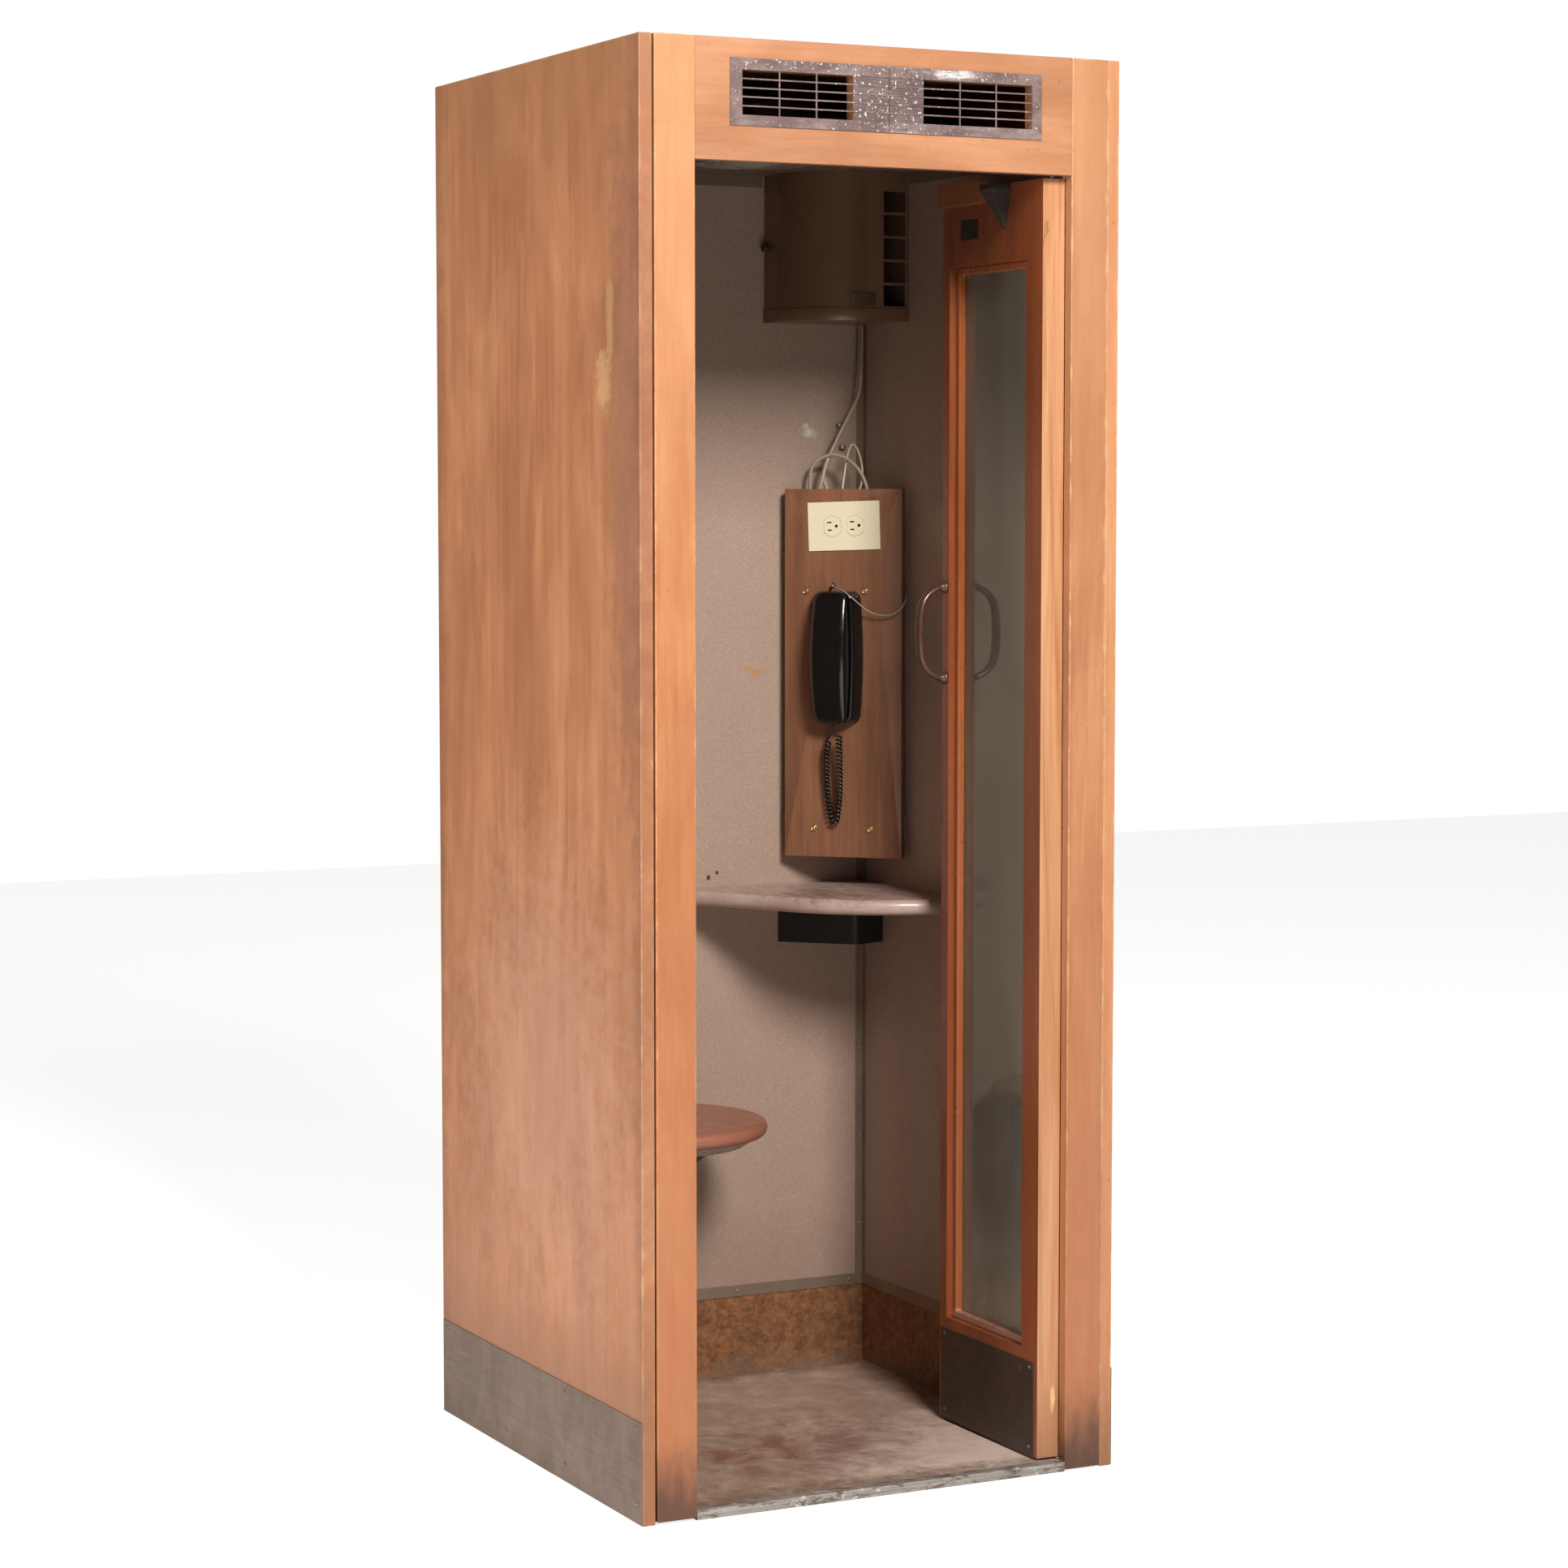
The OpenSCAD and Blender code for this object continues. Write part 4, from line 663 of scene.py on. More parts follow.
def mesh_of(name, verts, faces):
    me = bpy.data.meshes.new(name)
    me.from_pydata([tuple(v) for v in verts], [], faces)
    me.validate()
    bm = bmesh.new()
    bm.from_mesh(me)
    bmesh.ops.recalc_face_normals(bm, faces=bm.faces)
    bm.to_mesh(me)
    bm.free()
    me.update()
    return me


def join(name, parts):
    """One mesh from several (verts, faces) lists."""
    verts, faces = [], []
    for v, f in parts:
        n = len(verts)
        verts += list(v)
        faces += [[i + n for i in q] for q in f]
    return mesh_of(name, verts, faces)


def rings_mesh(rings):
    """(verts, faces) of a skin over equal-sized closed rings."""
    n = len(rings[0])
    verts = [p for r in rings for p in r]
    faces = []
    for i in range(len(rings) - 1):
        for k in range(n):
            a, b = i * n + k, i * n + (k + 1) % n
            faces.append([a, b, b + n, a + n])
    faces.append(list(range(n))[::-1])
    faces.append([(len(rings) - 1) * n + k for k in range(n)])
    return verts, faces


def lathe(profile, at, axis=(0, 0, 1), n=64):
    """(verts, faces) of a closed profile [(radius, height)] turned round an axis."""
    q = Vector((0, 0, 1)).rotation_difference(Vector(axis))
    at = Vector(at)
    rings = []
    for r, h in profile:
        rings.append([at + q @ Vector((x, y, h)) for x, y in ellipse(r, r, n)])
    return rings_mesh(rings)


def sweep(path, section, up=None, scale=None):
    """(verts, faces) of a section [(side, top)] swept along points; up fixes its twist."""
    path = [Vector(p) for p in path]
    rings = []
    ref = Vector(up) if up else None
    prev = None
    for i, p in enumerate(path):
        if i == 0:
            t = path[1] - p
        elif i == len(path) - 1:
            t = p - path[i - 1]
        else:
            t = (path[i + 1] - p).normalized() + (p - path[i - 1]).normalized()
        t.normalize()
        if ref is not None:
            side = t.cross(ref).normalized()
        else:
            if prev is None:
                prev = t.orthogonal().normalized()
            side = (prev - t * prev.dot(t)).normalized()
            prev = side
        top = side.cross(t)
        k = scale(i / (len(path) - 1)) if scale else 1.0
        rings.append([p + side * (a * k) + top * (b * k) for a, b in section])
    return rings_mesh(rings)


def ellipse(a, b, n=16):
    return [(a * math.cos(2 * math.pi * k / n), b * math.sin(2 * math.pi * k / n)) for k in range(n)]


def through(points, steps):
    """A smooth curve through a route, steps points to each stretch."""
    pts = [Vector(p) for p in points]
    out = []
    for i in range(len(pts) - 1):
        a, b, c, d = pts[max(i - 1, 0)], pts[i], pts[i + 1], pts[min(i + 2, len(pts) - 1)]
        for s in range(steps):
            t = s / steps
            out.append(0.5 * (2 * b + (c - a) * t + (2 * a - 5 * b + 4 * c - d) * t * t
                              + (3 * b - a - 3 * c + d) * t * t * t))
    return out + [pts[-1]]


def run_length(pts):
    return sum((Vector(b) - Vector(a)).length for a, b in zip(pts, pts[1:]))


def curve_piece(name, pts, radius, mat, body, **kw):
    cu = bpy.data.curves.new(name, "CURVE")
    cu.dimensions = "3D"
    cu.bevel_depth = radius
    cu.bevel_resolution = 3
    cu.use_fill_caps = True
    sp = cu.splines.new("POLY")
    sp.points.add(len(pts) - 1)
    for q, p in zip(sp.points, pts):
        q.co = (*p, 1)
    sp.use_smooth = True
    return piece(name, mat, body, data=cu, **kw)


def islands(node):
    """Vertex clusters of a CAD node made of many small solids."""
    bm = bmesh.new()
    bm.from_mesh(nodes[node].data)
    bmesh.ops.remove_doubles(bm, verts=bm.verts, dist=1e-6)
    seen, out = set(), []
    for v in bm.verts:
        if v in seen:
            continue
        stack, group = [v], []
        seen.add(v)
        while stack:
            w = stack.pop()
            group.append(w.co.copy())
            for e in w.link_edges:
                o = e.other_vert(w)
                if o not in seen:
                    seen.add(o)
                    stack.append(o)
        out.append(group)
    bm.free()
    return out


def paint(node, mat, bevel):
    """Gives a carried-over CAD node its material and, where bevel isn't 0, round arrises."""
    ob = nodes[node]
    ob.data.materials.clear()
    ob.data.materials.append(mat.mat)
    if bevel:
        weld = ob.modifiers.new("weld", "WELD")
        weld.merge_threshold = 1e-5
        round_off = ob.modifiers.new("bevel", "BEVEL")
        round_off.width = bevel
        round_off.segments = 2
        round_off.limit_method = "ANGLE"
        round_off.angle_limit = math.radians(35)
        round_off.harden_normals = False


# ---------------------------------------------------------------- phone board's own frame

BOARD_WIDTH = 0.200
S = math.sqrt(0.5)
board_lo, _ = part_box("phone_board")
BX = board_lo[0] + BOARD_WIDTH / 2 * S
BY = board_lo[1] + BOARD_WIDTH / 2 * S


def on_board(u, y, z):
    """Millimetres along the board, behind its face and up, to metres in the frame."""
    return Vector((BX + (u + y) * S * MM, BY + (y - u) * S * MM, z * MM))


# ---------------------------------------------------------------- cords

COIL_RADIUS = 4.5 * MM    # from the coil's axis to the middle of the wire
COIL_PITCH = 6.6 * MM
WIRE_RADIUS = 1.7 * MM
coil_route = [(2.5, -30, 1079), (2, -26, 1050), (1, -21, 1014), (-1, -16, 979), (-4.5, -13, 955),
              (-7.5, -11, 941), (-11, -10, 936), (-15, -10, 940), (-19, -10, 956), (-22.5, -10, 979),
              (-25, -11, 1014), (-24.5, -13, 1046), (-20, -15, 1068)]
coil_lead = [(-8, -33, 1098.2), (-7.5, -33, 1092), (-5.5, -32, 1084)]
coil_tail = [(-16, -16, 1080), (-13, -16, 1090), (-12, -16, 1098)]


def coil_points(axis, radius, pitch, start, per_turn=16):
    """Helix round a smooth axis; start is the way its first point looks from the axis."""
    axis = through(axis, 12)
    total = run_length(axis)
    turns = round(total / pitch * 2) / 2
    out, prev, done = [], Vector(start), 0.0
    steps = int(turns * per_turn)
    marks = [0.0]
    for a, b in zip(axis, axis[1:]):
        marks.append(marks[-1] + (b - a).length)
    j = 0
    for i in range(steps + 1):
        s = total * i / steps
        while j < len(marks) - 2 and marks[j + 1] < s:
            j += 1
        f = (s - marks[j]) / (marks[j + 1] - marks[j])
        c = axis[j].lerp(axis[j + 1], f)
        t = (axis[j + 1] - axis[j]).normalized()
        side = (prev - t * prev.dot(t)).normalized()
        prev = side
        top = t.cross(side)
        w = 2 * math.pi * i / per_turn
        out.append(c + side * (radius * math.cos(w)) + top * (radius * math.sin(w)))
    return out


helix = coil_points([on_board(*p) for p in coil_route], COIL_RADIUS, COIL_PITCH,
                    on_board(-10, -30, 1079) - on_board(0, -30, 1079))
lead = through([on_board(*p) for p in coil_lead] + [helix[0]], 5)[:-1]
tail = through([helix[-1]] + [on_board(*p) for p in coil_tail], 5)[1:]
coil_line = lead + helix + tail
handset_cord = curve_piece("handset_cord_coil", coil_line, WIRE_RADIUS, coil_mat, "booth",
                           stands_for=["handset_cord"], slot="cord_black")

line_route = [(-17, 6, 1322), (-17, -4, 1322), (-14, -11, 1322), (-4, -20, 1318.5), (8, -29, 1315.5),
              (18, -34, 1310), (28, -31, 1301.5), (36, -24, 1293), (46, -18, 1284), (58, -13, 1277.5),
              (72, -11, 1275), (85, -9.5, 1276), (95, -8, 1281), (101.5, -5, 1288), (105.5, 1, 1297),
              (106, 7, 1305), (104, 12, 1311)]
line_path = through([on_board(*p) for p in line_route], 5)
up = on_board(0, -1, 0.3) - on_board(0, 0, 0)
line_cord = piece("flat_line_cord", flat_mat, "booth", ["line_cord"], "cord_grey",
                  [sweep(line_path, ellipse(1.0 * MM, 2.7 * MM, 14), up=up)])

cable_down = [(331, 329, 1749), (330, 328, 1700), (327, 326, 1655), (320, 322, 1628), (306, 320, 1602),
              (292, 318, 1577), (278, 316, 1553), (266, 315, 1531), (258, 313, 1512), (255, 309, 1496),
              (256, 302, 1482), (258, 298, 1466), (258, 300, 1448)]
cable_loop = [(331, 321, 1749), (330, 320, 1700), (327, 318, 1655), (319, 315, 1628), (304, 313, 1602),
              (289, 312, 1577), (275, 310, 1553), (263, 309, 1531), (255, 307, 1512), (250, 305, 1496),
              (246, 306, 1482), (242, 312, 1464), (238, 318, 1464), (236, 321, 1482), (237, 321, 1508),
              (244, 317, 1524), (256, 309, 1533), (270, 298, 1536), (287, 282, 1527), (300, 267, 1508),
              (306, 257, 1485), (307, 253, 1465), (303, 257, 1449)]
cable_thin = [(275, 282, 1460), (276, 283, 1482), (281, 286, 1505), (286, 289, 1526), (292, 290, 1546),
              (298, 288, 1553), (304, 281, 1541), (306, 272, 1516), (303, 266, 1494), (298, 266, 1478),
              (292, 268, 1460)]
for name, route, r, mat in (("power_cable_a", cable_down, 3.1, cable_mat),
                            ("power_cable_b", cable_loop, 3.1, cable_mat),
                            ("power_cable_thin", cable_thin, 1.7, cable_pale)):
    pts = through([Vector(p) * MM for p in route], 5)
    ob = curve_piece(name, pts, r * MM, mat, "booth", stands_for=["power_cables"], slot="cable_tan")


# ---------------------------------------------------------------- telephone

def bowed(mid, ends, half_h, r, n=12):
    """Points of an outline with bowed sides and round corners, anticlockwise, in mm."""
    out = []
    for cx, cz, a0 in ((1, 1, 0), (-1, 1, 90), (-1, -1, 180), (1, -1, 270)):
        for k in range(n):
            a = math.radians(a0 + 90 * k / (n - 1))
            out.append([cx * (ends - r) + r * math.cos(a), cz * (half_h - r) + r * math.sin(a)])
    # The long sides get their own points so that they can bow
    full = []
    for q in range(4):
        full += out[q * n:(q + 1) * n]
        a, b = out[q * n + n - 1], out[((q + 1) % 4) * n]
        steps = 10 if q in (1, 3) else 4
        for k in range(1, steps):
            t = k / steps
            full.append([a[0] + (b[0] - a[0]) * t, a[1] + (b[1] - a[1]) * t])
    for p in full:
        f = max(0.0, 1 - (p[1] / half_h) ** 2)
        p[0] *= 1 + (mid / ends - 1) * f
    return full


PU, PZ = -9.5, 1206.0


def phone_rings(spec):
    rings = []
    for depth, mid, ends, half, r in spec:
        rings.append([on_board(PU + x, -depth, PZ + z) for x, z in bowed(mid, ends, half, r)])
    return rings_mesh(rings)


base_skin = phone_rings([
    (0.3, 44.2, 38.8, 107.2, 13), (2.5, 45.2, 39.8, 107.9, 13), (6, 44.6, 39.2, 107.6, 13),
    (14, 41.2, 36.4, 107.0, 12.5), (22, 37.8, 33.4, 106.2, 12), (25.5, 36.4, 32.2, 105.6, 11.5),
    (27.4, 35.0, 31.0, 104.6, 11), (28.0, 33.2, 29.4, 103.0, 10), (28.0, 30.5, 27.0, 100.5, 9),
    (26.5, 29.2, 25.6, 99.2, 8), (18, 27.5, 24.0, 97.5, 8), (14, 26.0, 22.8, 96.0, 8)])
piece("phone_base_shell", phone_mat, "booth", ["phone_base"], "phone_plastic", [base_skin])


def handset_mesh():
    """Handset skin: bowed in plan, a long arc along its outer face, round arrises."""
    half_h, inner, mid_out, end_out = 107.3, 28.7, 57.6, 38.0
    rings = []
    n_z = 34
    for i in range(n_z + 1):
        a = math.pi * i / n_z
        z = -half_h * math.cos(a)
        s = z / half_h
        sag = mid_out - end_out
        radius = (half_h ** 2 + sag ** 2) / (2 * sag)
        outer = mid_out - (radius - math.sqrt(radius ** 2 - z * z))
        w = 31.3 - 5.5 * s * s
        e = max(0.0, 1 - (abs(z) - (half_h - 12)) / 12) if abs(z) > half_h - 12 else 1.0
        rnd = math.sqrt(max(0.0, 1 - (1 - e) ** 2))
        w *= 0.40 + 0.60 * rnd
        mid_p = (inner + outer) / 2
        depth = (outer - inner) / 2 * (0.25 + 0.75 * rnd)
        n_s, ring = 40, []
        for k in range(n_s):
            t = 2 * math.pi * k / n_s
            c, q = math.cos(t), math.sin(t)
            x = math.copysign(abs(c) ** 0.42, c) * w
            y = math.copysign(abs(q) ** (0.62 if q > 0 else 0.30), q) * depth
            ring.append(on_board(PU + x, -(mid_p + y), PZ + z))
        rings.append(ring)
    return rings_mesh(rings)


handset = piece("handset_shell", phone_mat, "handset", ["handset"], "phone_plastic",
                [handset_mesh()])
sub = handset.modifiers.new("smooth", "SUBSURF")
sub.levels = sub.render_levels = 1
paint("hook_switch", knob_mat, 0.0004)
paint("keypad_keys", key_mat, 0.0006)


# ---------------------------------------------------------------- screws

def dome(r, h, at, axis, slot_turn=0.0):
    """(verts, faces) of a round screw head with a driver slot."""
    q = Vector((0, 0, 1)).rotation_difference(Vector(axis))
    n, m = 28, 6
    ca, sa = math.cos(slot_turn), math.sin(slot_turn)
    rings = []
    for j in range(m + 1):
        rho = r * math.sin(math.pi / 2 * (1 - j / m))
        z = h * math.cos(math.pi / 2 * (1 - j / m)) if j else 0.0
        ring = []
        for x, y in ellipse(rho, rho, n):
            in_slot = j > 1 and abs(x * sa - y * ca) < r * 0.16
            ring.append(Vector(at) + q @ Vector((x, y, z * 0.45 if in_slot else z)))
        rings.append(ring)
    return rings_mesh(rings)


heads = []
for i, group in enumerate(islands("round_head_screws")):
    lo = Vector([min(v[a] for v in group) for a in range(3)])
    hi = Vector([max(v[a] for v in group) for a in range(3)])
    a = min(range(3), key=lambda q: hi[q] - lo[q])
    mid = (lo + hi) / 2
    wide = max(hi[q] - lo[q] for q in range(3))
    o = (a + 1) % 3
    low = max(abs(v[o] - mid[o]) for v in group if v[a] < mid[a])
    high = max(abs(v[o] - mid[o]) for v in group if v[a] >= mid[a])
    axis = Vector([0, 0, 0])
    axis[a] = 1 if high < low else -1
    at = mid.copy()
    at[a] = lo[a] if axis[a] > 0 else hi[a]
    heads.append(dome(wide / 2, hi[a] - lo[a], at, axis, i * 1.3))
piece("domed_screw_heads", screw_mat, "booth", ["round_head_screws"], "screw_steel", heads)

washer = [(0.1, 0.1), (5.9, 0.1), (5.9, 0.5), (4.9, 1.8), (4.1, 2.2), (3.3, 1.7), (2.9, 1.2), (0.1, 1.3)]
out = on_board(0, -1, 0) - on_board(0, 0, 0)
rims = []
for u, z in ((-64, 1313), (37, 1314), (-50, 925), (47, 925)):
    rims.append(lathe([(r * MM, h * MM) for r, h in washer], on_board(u, 0, z), out, 32))
    rims.append(dome(2.8 * MM, 1.0 * MM, on_board(u, -1.2, z), out, 0.6 + u))
piece("finish_washers", brass_mat, "booth", ["board_screws"], "brass_plate", rims)


# ---------------------------------------------------------------- seat, shelf, lens, knob

seat_lo, seat_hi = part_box("seat_top")
sx, sy, _ = middle(seat_lo, seat_hi)
R, T = (seat_hi[0] - seat_lo[0]) / 2, seat_hi[2] - seat_lo[2]
nose = []
for k in range(13):
    a = -math.pi / 2 + math.pi * k / 12
    nose.append((R - 0.0112 + 0.0112 * math.cos(a), T / 2 + (T / 2 - 0.0002) * math.sin(a)))
profile = [(0.0005, 0.0002)] + nose + [(R * 0.6, T - 0.0003), (0.0005, T - 0.0002)]
piece("seat_disc", seat_mat, "booth", ["seat_top"], "seat_wood",
      [lathe(profile, (sx, sy, seat_lo[2]), n=128)])

CABINET_MID = (389.5, 388.5)    # the origin, from the cabinet's front left corner
shelf_lo, shelf_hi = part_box("shelf")


def bez(a, b, c, d, t):
    u = 1 - t
    return tuple(u ** 3 * a[i] + 3 * u * u * t * b[i] + 3 * u * t * t * c[i] + t ** 3 * d[i] for i in (0, 1))


def on_plan(w, d):
    """Millimetres right of and behind the cabinet's front left corner, to metres."""
    return ((w - CABINET_MID[0]) * MM, (d - CABINET_MID[1]) * MM)


# The free edge runs from the back wall to the right wall in two bends
back_end = (shelf_lo[0], shelf_hi[1])
right_end = (shelf_hi[0], shelf_lo[1])
turn = on_plan(488, 548)
free = [back_end]
for bend in ((back_end, on_plan(400, 680), on_plan(458, 611), turn),
             (turn, on_plan(523, 470), on_plan(610, 393), right_end)):
    free += [bez(*bend, i / 28) for i in range(1, 29)]


def shelf_mesh():
    """Shelf with a round nose along its free edge and square edges along the walls."""
    T2 = (shelf_hi[2] - shelf_lo[2]) / 2
    zc = (shelf_hi[2] + shelf_lo[2]) / 2
    nr = 0.0105
    n = len(free)
    normals = []
    for i in range(n):
        a, b = free[max(i - 1, 0)], free[min(i + 1, n - 1)]
        t = Vector((b[0] - a[0], b[1] - a[1], 0)).normalized()
        normals.append(Vector((-t.y, t.x, 0)))
    corner = Vector((shelf_hi[0], shelf_hi[1], 0))
    if normals[n // 2].dot(corner - Vector((*free[n // 2], 0))) < 0:
        normals = [-q for q in normals]
    rings = []
    prof = [(0.03, -1.0)]
    for k in range(11):
        a = -math.pi / 2 + math.pi * k / 10
        prof.append((nr * (1 - math.cos(a)), math.sin(a)))
    prof.append((0.03, 1.0))
    for inset, s in prof:
        ring = []
        for i, (x, y) in enumerate(free):
            q = Vector((x, y, 0)) + normals[i] * inset
            q.x = min(q.x, shelf_hi[0])
            q.y = min(q.y, shelf_hi[1])
            if i == 0:
                q = Vector((x + inset * 1.1, shelf_hi[1], 0))
            if i == n - 1:
                q = Vector((shelf_hi[0], y + inset * 1.1, 0))
            q.z = zc + s * (T2 - 0.0002)
            ring.append(q)
        ring.append(Vector((shelf_hi[0], shelf_hi[1], zc + s * (T2 - 0.0002))))
        rings.append(ring)
    return rings_mesh(rings)


shelf = piece("corner_shelf", shelf_mat, "booth", ["shelf"], "shelf_laminate", [shelf_mesh()])
for f in shelf.data.polygons:
    f.use_smooth = abs(f.normal.z) < 0.999

lens_lo, lens_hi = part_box("light_lens")
lx, ly, _ = middle(lens_lo, lens_hi)
LR = (lens_hi[0] - lens_lo[0]) / 2 - 0.0005
drop = lens_hi[2] - lens_lo[2]
prof = []
for k in range(60):
    t = k / 59
    ripple = 0.0007 * math.sin(t * 60)
    prof.append((max(LR * t, 0.0004), (drop - 0.002) * t * t + 0.001 + ripple))
prof += [(LR, drop - 0.0002), (LR * 0.6, drop * 0.5 + 0.003), (0.0004, 0.0045)]
lens_mat = Paint("lens_ribbed", 0.12)
lens_mat.set("Base Color", lens_mat.ramp(lens_mat.noise(90, 3), (0.3, (0.50, 0.46, 0.38)),
                                         (0.7, (0.66, 0.62, 0.52))))
lens_mat.set("Transmission Weight", 0.55)
lens_mat.set("IOR", 1.45)
piece("lens_disc", lens_mat, "booth", ["light_lens"], "clear_glass",
      [lathe(prof, (lx, ly, lens_lo[2]), n=96)])

knob_lo, knob_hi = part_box("fan_knob")
_, ky, kz = middle(knob_lo, knob_hi)


def knob_rings():
    rings = []
    for r, h in ((0.4, 0), (5.3, 0.0), (6.1, 0.5), (6.6, 2.0), (7.0, 8.2), (7.0, 9.2), (2.9, 9.2), (2.9, 17.8),
                 (0.4, 17.8)):
        ring = []
        for k in range(60):
            a = 2 * math.pi * k / 60
            rr = r * (1 - (0.05 if k % 4 < 2 and 1.0 < h < 9 and r > 5 else 0))
            ring.append(Vector((knob_lo[0] + h * MM, ky + rr * MM * math.cos(a), kz + rr * MM * math.sin(a))))
        rings.append(ring)
    return rings_mesh(rings)


piece("fan_knob_grip", knob_mat, "fan_knob", ["fan_knob"], "black_plastic", [knob_rings()], smooth=False)


# ---------------------------------------------------------------- door furniture

leaf_lo, leaf_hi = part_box("lead_leaf_frame")
_, hy, hz = middle(*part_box("door_handle"))
hx = leaf_lo[0]
HANDLE_HALF = 70.5
HANDLE_FOOT = [(0.3, 0.0), (9.6, 0.1), (9.9, 1.6), (9.0, 3.2), (7.4, 5.2), (6.6, 8.0), (5.6, 10.0), (0.3, 10.0)]
HANDLE_BOW = [(1, 70.5), (6, 70.5), (12, 69.5), (26, 62.5), (37.5, 50.5), (43.5, 32.5)]   # the upper half


def handle_parts():
    lower = [(out, -up) for out, up in reversed(HANDLE_BOW)]
    pts = through([Vector((hx - a * MM, hy, hz + b * MM)) for a, b in HANDLE_BOW + [(45.5, 0)] + lower], 5)

    def fat(t):
        e = abs(t - 0.5) * 2
        return 0.86 + 0.16 * math.cos(e * 3.4) + max(0.0, e - 0.80) * 0.9

    parts = [sweep(pts, ellipse(6.2 * MM, 8.6 * MM, 20), up=(0, 1, 0), scale=fat)]
    for s in (-1, 1):
        foot = [(r * MM, h * MM) for r, h in HANDLE_FOOT]
        parts.append(lathe(foot, (hx, hy, hz + s * HANDLE_HALF * MM), (-1, 0, 0), 36))
    return parts


piece("bow_handle", handle_mat, "lead_leaf", ["door_handle"], "handle_metal", handle_parts())

kick_lo, kick_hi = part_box("lead_leaf_kick_plate")
tacks = []
for y in (kick_lo[1] + 0.012, kick_hi[1] - 0.012):
    for z in (0.033, 0.155):
        tacks.append(dome(0.0036, 0.0014, (kick_lo[0], y, z), (-1, 0, 0), y * 90))
bead_lo, bead_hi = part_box("lead_leaf_beads")
for i in range(11):
    z = bead_lo[2] + 0.03 + i * (bead_hi[2] - bead_lo[2] - 0.06) / 10
    for y in (bead_lo[1] + 0.0055, bead_hi[1] - 0.0055):
        tacks.append(dome(0.0017, 0.0005, (bead_lo[0], y, z), (-1, 0, 0)))
for i, z in enumerate((0.36, 0.62, 0.93, 1.24, 1.55, 1.76)):
    tacks.append(dome(0.0021, 0.0006, (hx, leaf_hi[1] - 0.010, z), (-1, 0, 0), i))
piece("leaf_screws_and_pins", screw_mat, "lead_leaf", (), "screw_steel", tacks)


# ---------------------------------------------------------------- finishes on the carried-over nodes

finish = {
    "base_board": (wood_base, 0), "floor_covering": (floor_mat, 0), "threshold_strip": (threshold_mat, 0.0006),
    "left_side_panel": (wood_left, 0.0012), "right_side_panel": (wood_right, 0.0012),
    "back_panel": (wood_back, 0.001), "roof_panel": (wood_roof, 0), "left_stile": (wood_ls, 0.0014),
    "right_stile": (wood_rs, 0.0014), "header": (wood_head, 0.0012), "left_jamb_strip": (wood_door, 0.001),
    "wall_battens": (wood_batten, 0), "wall_linings": (walls, 0), "ceiling_panel": (ceiling_mat, 0),
    "metal_trims": (trim_mat, 0.0003), "baseboards": (fibre_mat, 0), "outer_kick_plates": (kick_out, 0.0006),
    "vent_registers": (register_mat, 0.0004), "door_track": (dark_steel, 0.0004),
    "pivot_brackets": (steel_mat, 0.0003), "light_housing": (lamp_mat, 0.0004), "light_bulb": (bulb_mat, 0),
    "shelf_support": (black_box, 0.002), "seat_support": (pan_mat, 0.0006), "fan_housing": (fan_mat, 0.0006),
    "fan_motor": (steel_mat, 0.0008), "fan_impeller": (steel_mat, 0.0002), "phone_board": (walnut, 0.0006),
    "outlet_box": (steel_mat, 0.0004), "outlet_receptacle": (socket_mat, 0.0003),
    "outlet_plate": (ivory_mat, 0.0012), "rear_leaf_frame": (wood_door, 0.0014),
    "rear_leaf_glass": (glass_mat, 0), "rear_leaf_beads": (wood_bead, 0.001),
    "rear_leaf_kick_plate": (kick_in, 0.0004), "rear_leaf_pivots": (steel_mat, 0.0004),
    "rear_hinge_halves": (brass_mat, 0.0003), "lead_leaf_frame": (wood_door, 0.0014),
    "lead_leaf_glass": (glass_mat, 0), "lead_leaf_beads": (wood_bead, 0.0015),
    "lead_leaf_kick_plate": (kick_in, 0.0004), "lead_hinge_halves": (brass_mat, 0.0003),
    "top_cleat": (wood_cleat, 0.0012), "top_rail_fittings": (cam_mat, 0.0006),
    "guide_pin": (steel_mat, 0.0004), "guide_roller": (nylon_mat, 0.0005),
}
for node, (mat, bevel) in finish.items():
    paint(node, mat, bevel)


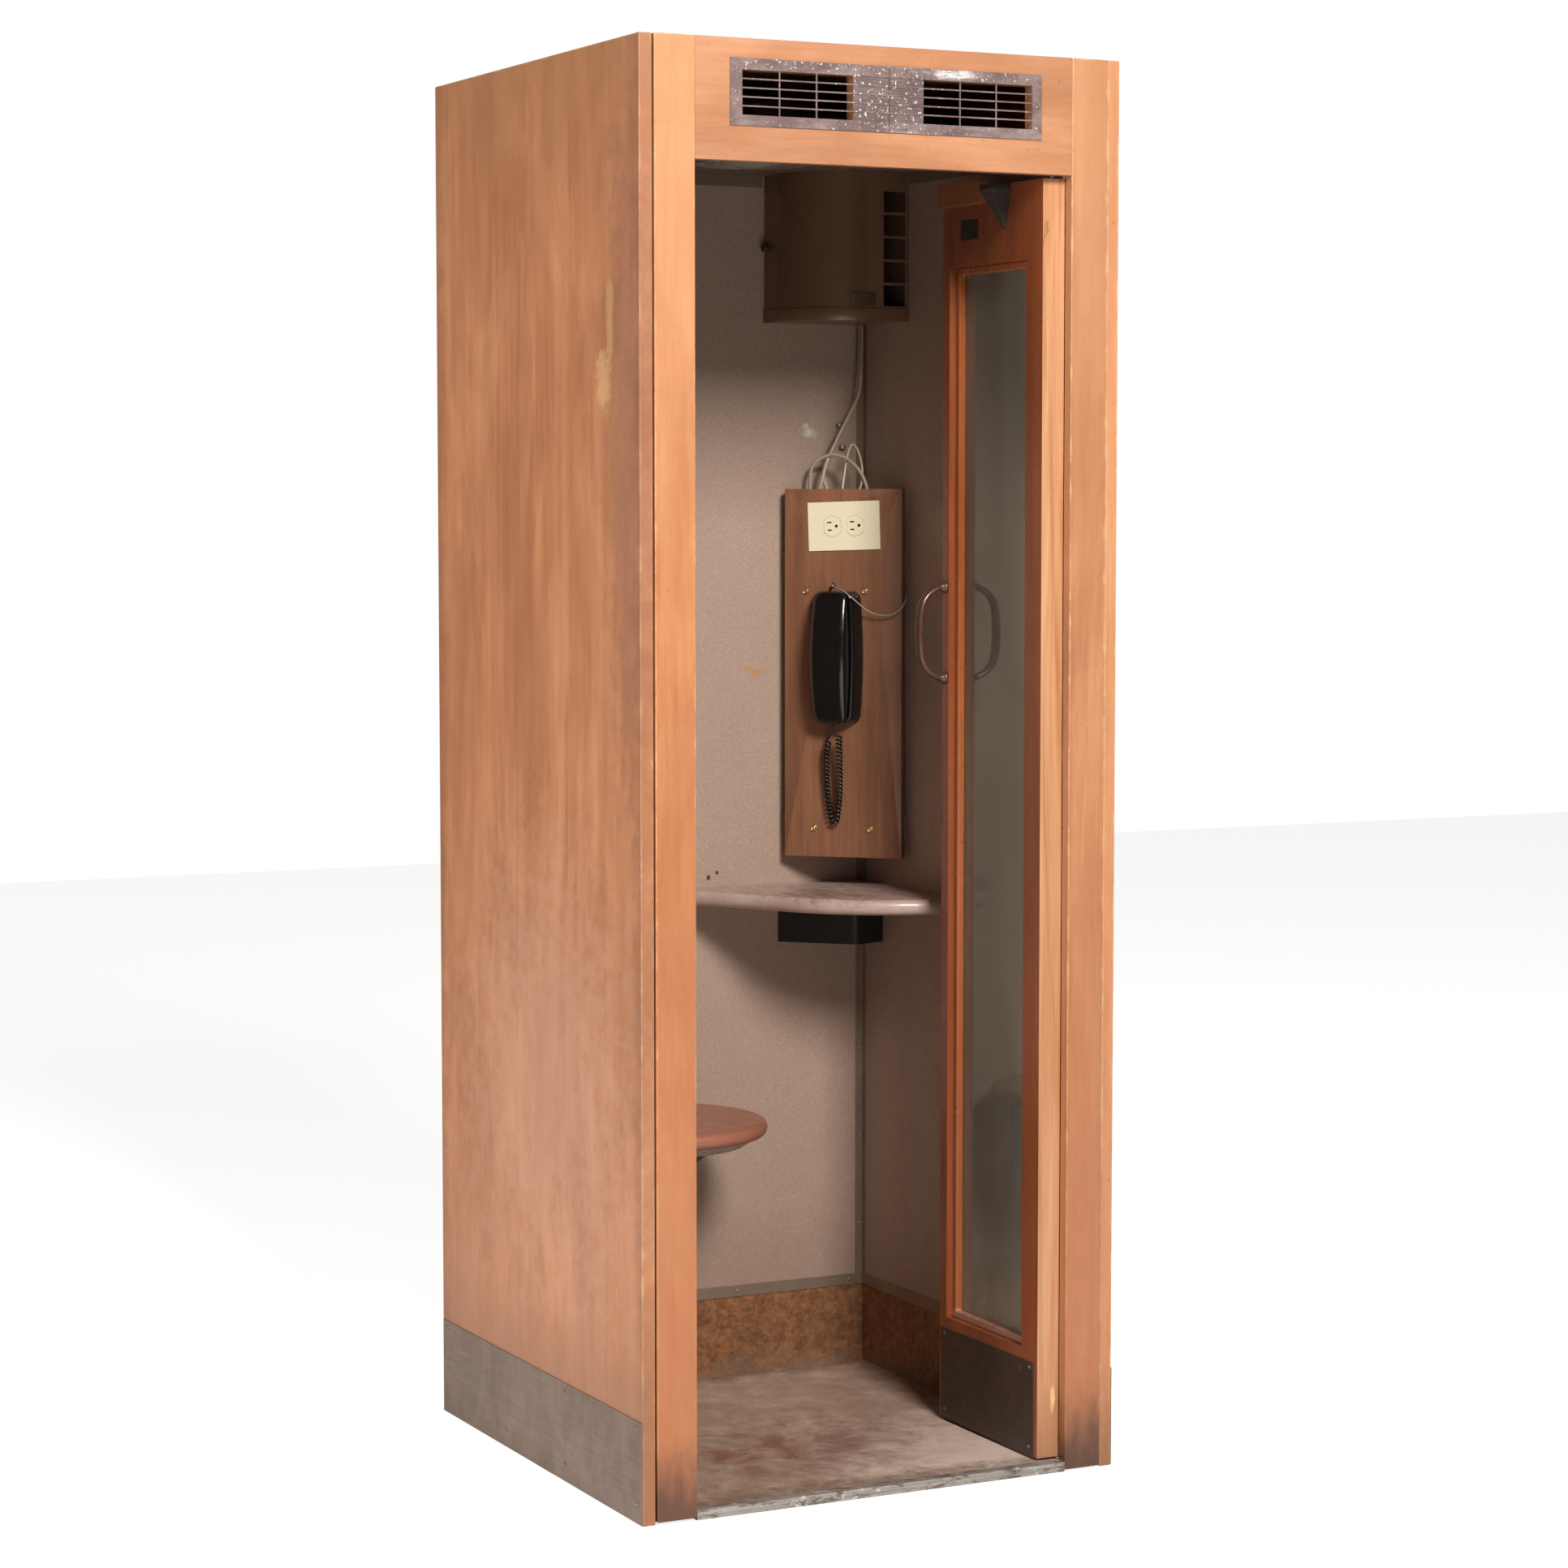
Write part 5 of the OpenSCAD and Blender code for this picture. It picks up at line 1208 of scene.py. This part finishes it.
def bent_plate():
    """Small blank plate that follows the fan housing's round corner."""
    cx, cy, r = 0.2745, 0.3025, 0.110     # the corner's centre and radius
    rings = []
    for k in range(13):
        a = math.radians(-106.0 + 23.5 * k / 12)
        ring = []
        for dr, z in ((-0.0004, 1.7740), (0.0006, 1.7745), (0.0006, 1.7940), (-0.0004, 1.7945)):
            ring.append(Vector((cx + (r + dr) * math.cos(a), cy + (r + dr) * math.sin(a), z)))
        rings.append(ring)
    return rings_mesh(rings)


piece("housing_label_blank", label_mat, "booth", (), "trim_metal", [bent_plate()], smooth=False)

clips = []
for x, z in ((0.3045, 1.584), (0.3095, 1.548)):
    clips.append(sweep(through([(x - 0.006, 0.3512, z), (x - 0.004, 0.3465, z + 0.001), (x, 0.3445, z + 0.001),
                                (x + 0.004, 0.3465, z + 0.001), (x + 0.006, 0.3512, z)], 4),
                       ellipse(0.0008, 0.0035, 10), up=(0, 0, 1)))
    clips.append(dome(0.0022, 0.0012, (x, 0.3442, z), (0, -1, 0), 0.4))
piece("cable_clips", steel_mat, "booth", (), "trim_metal", clips)


# ---------------------------------------------------------------- stage

STAGE_HALF = 9
STAGE_LEVEL = -0.0006   # just under the booth, so that the two faces don't meet

corners = [(-1, -1), (1, -1), (1, 1), (-1, 1)]
stage_mesh = mesh_of("stage_floor", [(x * STAGE_HALF, y * STAGE_HALF, STAGE_LEVEL) for x, y in corners],
                     [[0, 1, 2, 3]])
stage_paint = coated("stage_pale", (0.90, 0.895, 0.885), (0.86, 0.855, 0.845), None, 0.7, scale=5, amount=0.2,
                     bump=0.0)
tree = stage_paint.nt
glow = add_node(tree, "ShaderNodeEmission", Color=WHITE, Strength=0.80)
unlit = add_node(tree, "ShaderNodeEmission", Strength=0.0)
both = tree.nodes.new("ShaderNodeAddShader")
tree.links.new(stage_paint.bsdf.outputs[0], both.inputs[0])
tree.links.new(for_camera(tree, glow, unlit), both.inputs[1])
tree.links.new(both.outputs[0], stage_paint.out.inputs["Surface"])
piece("stage_floor", stage_paint, None, data=stage_mesh, smooth=False)
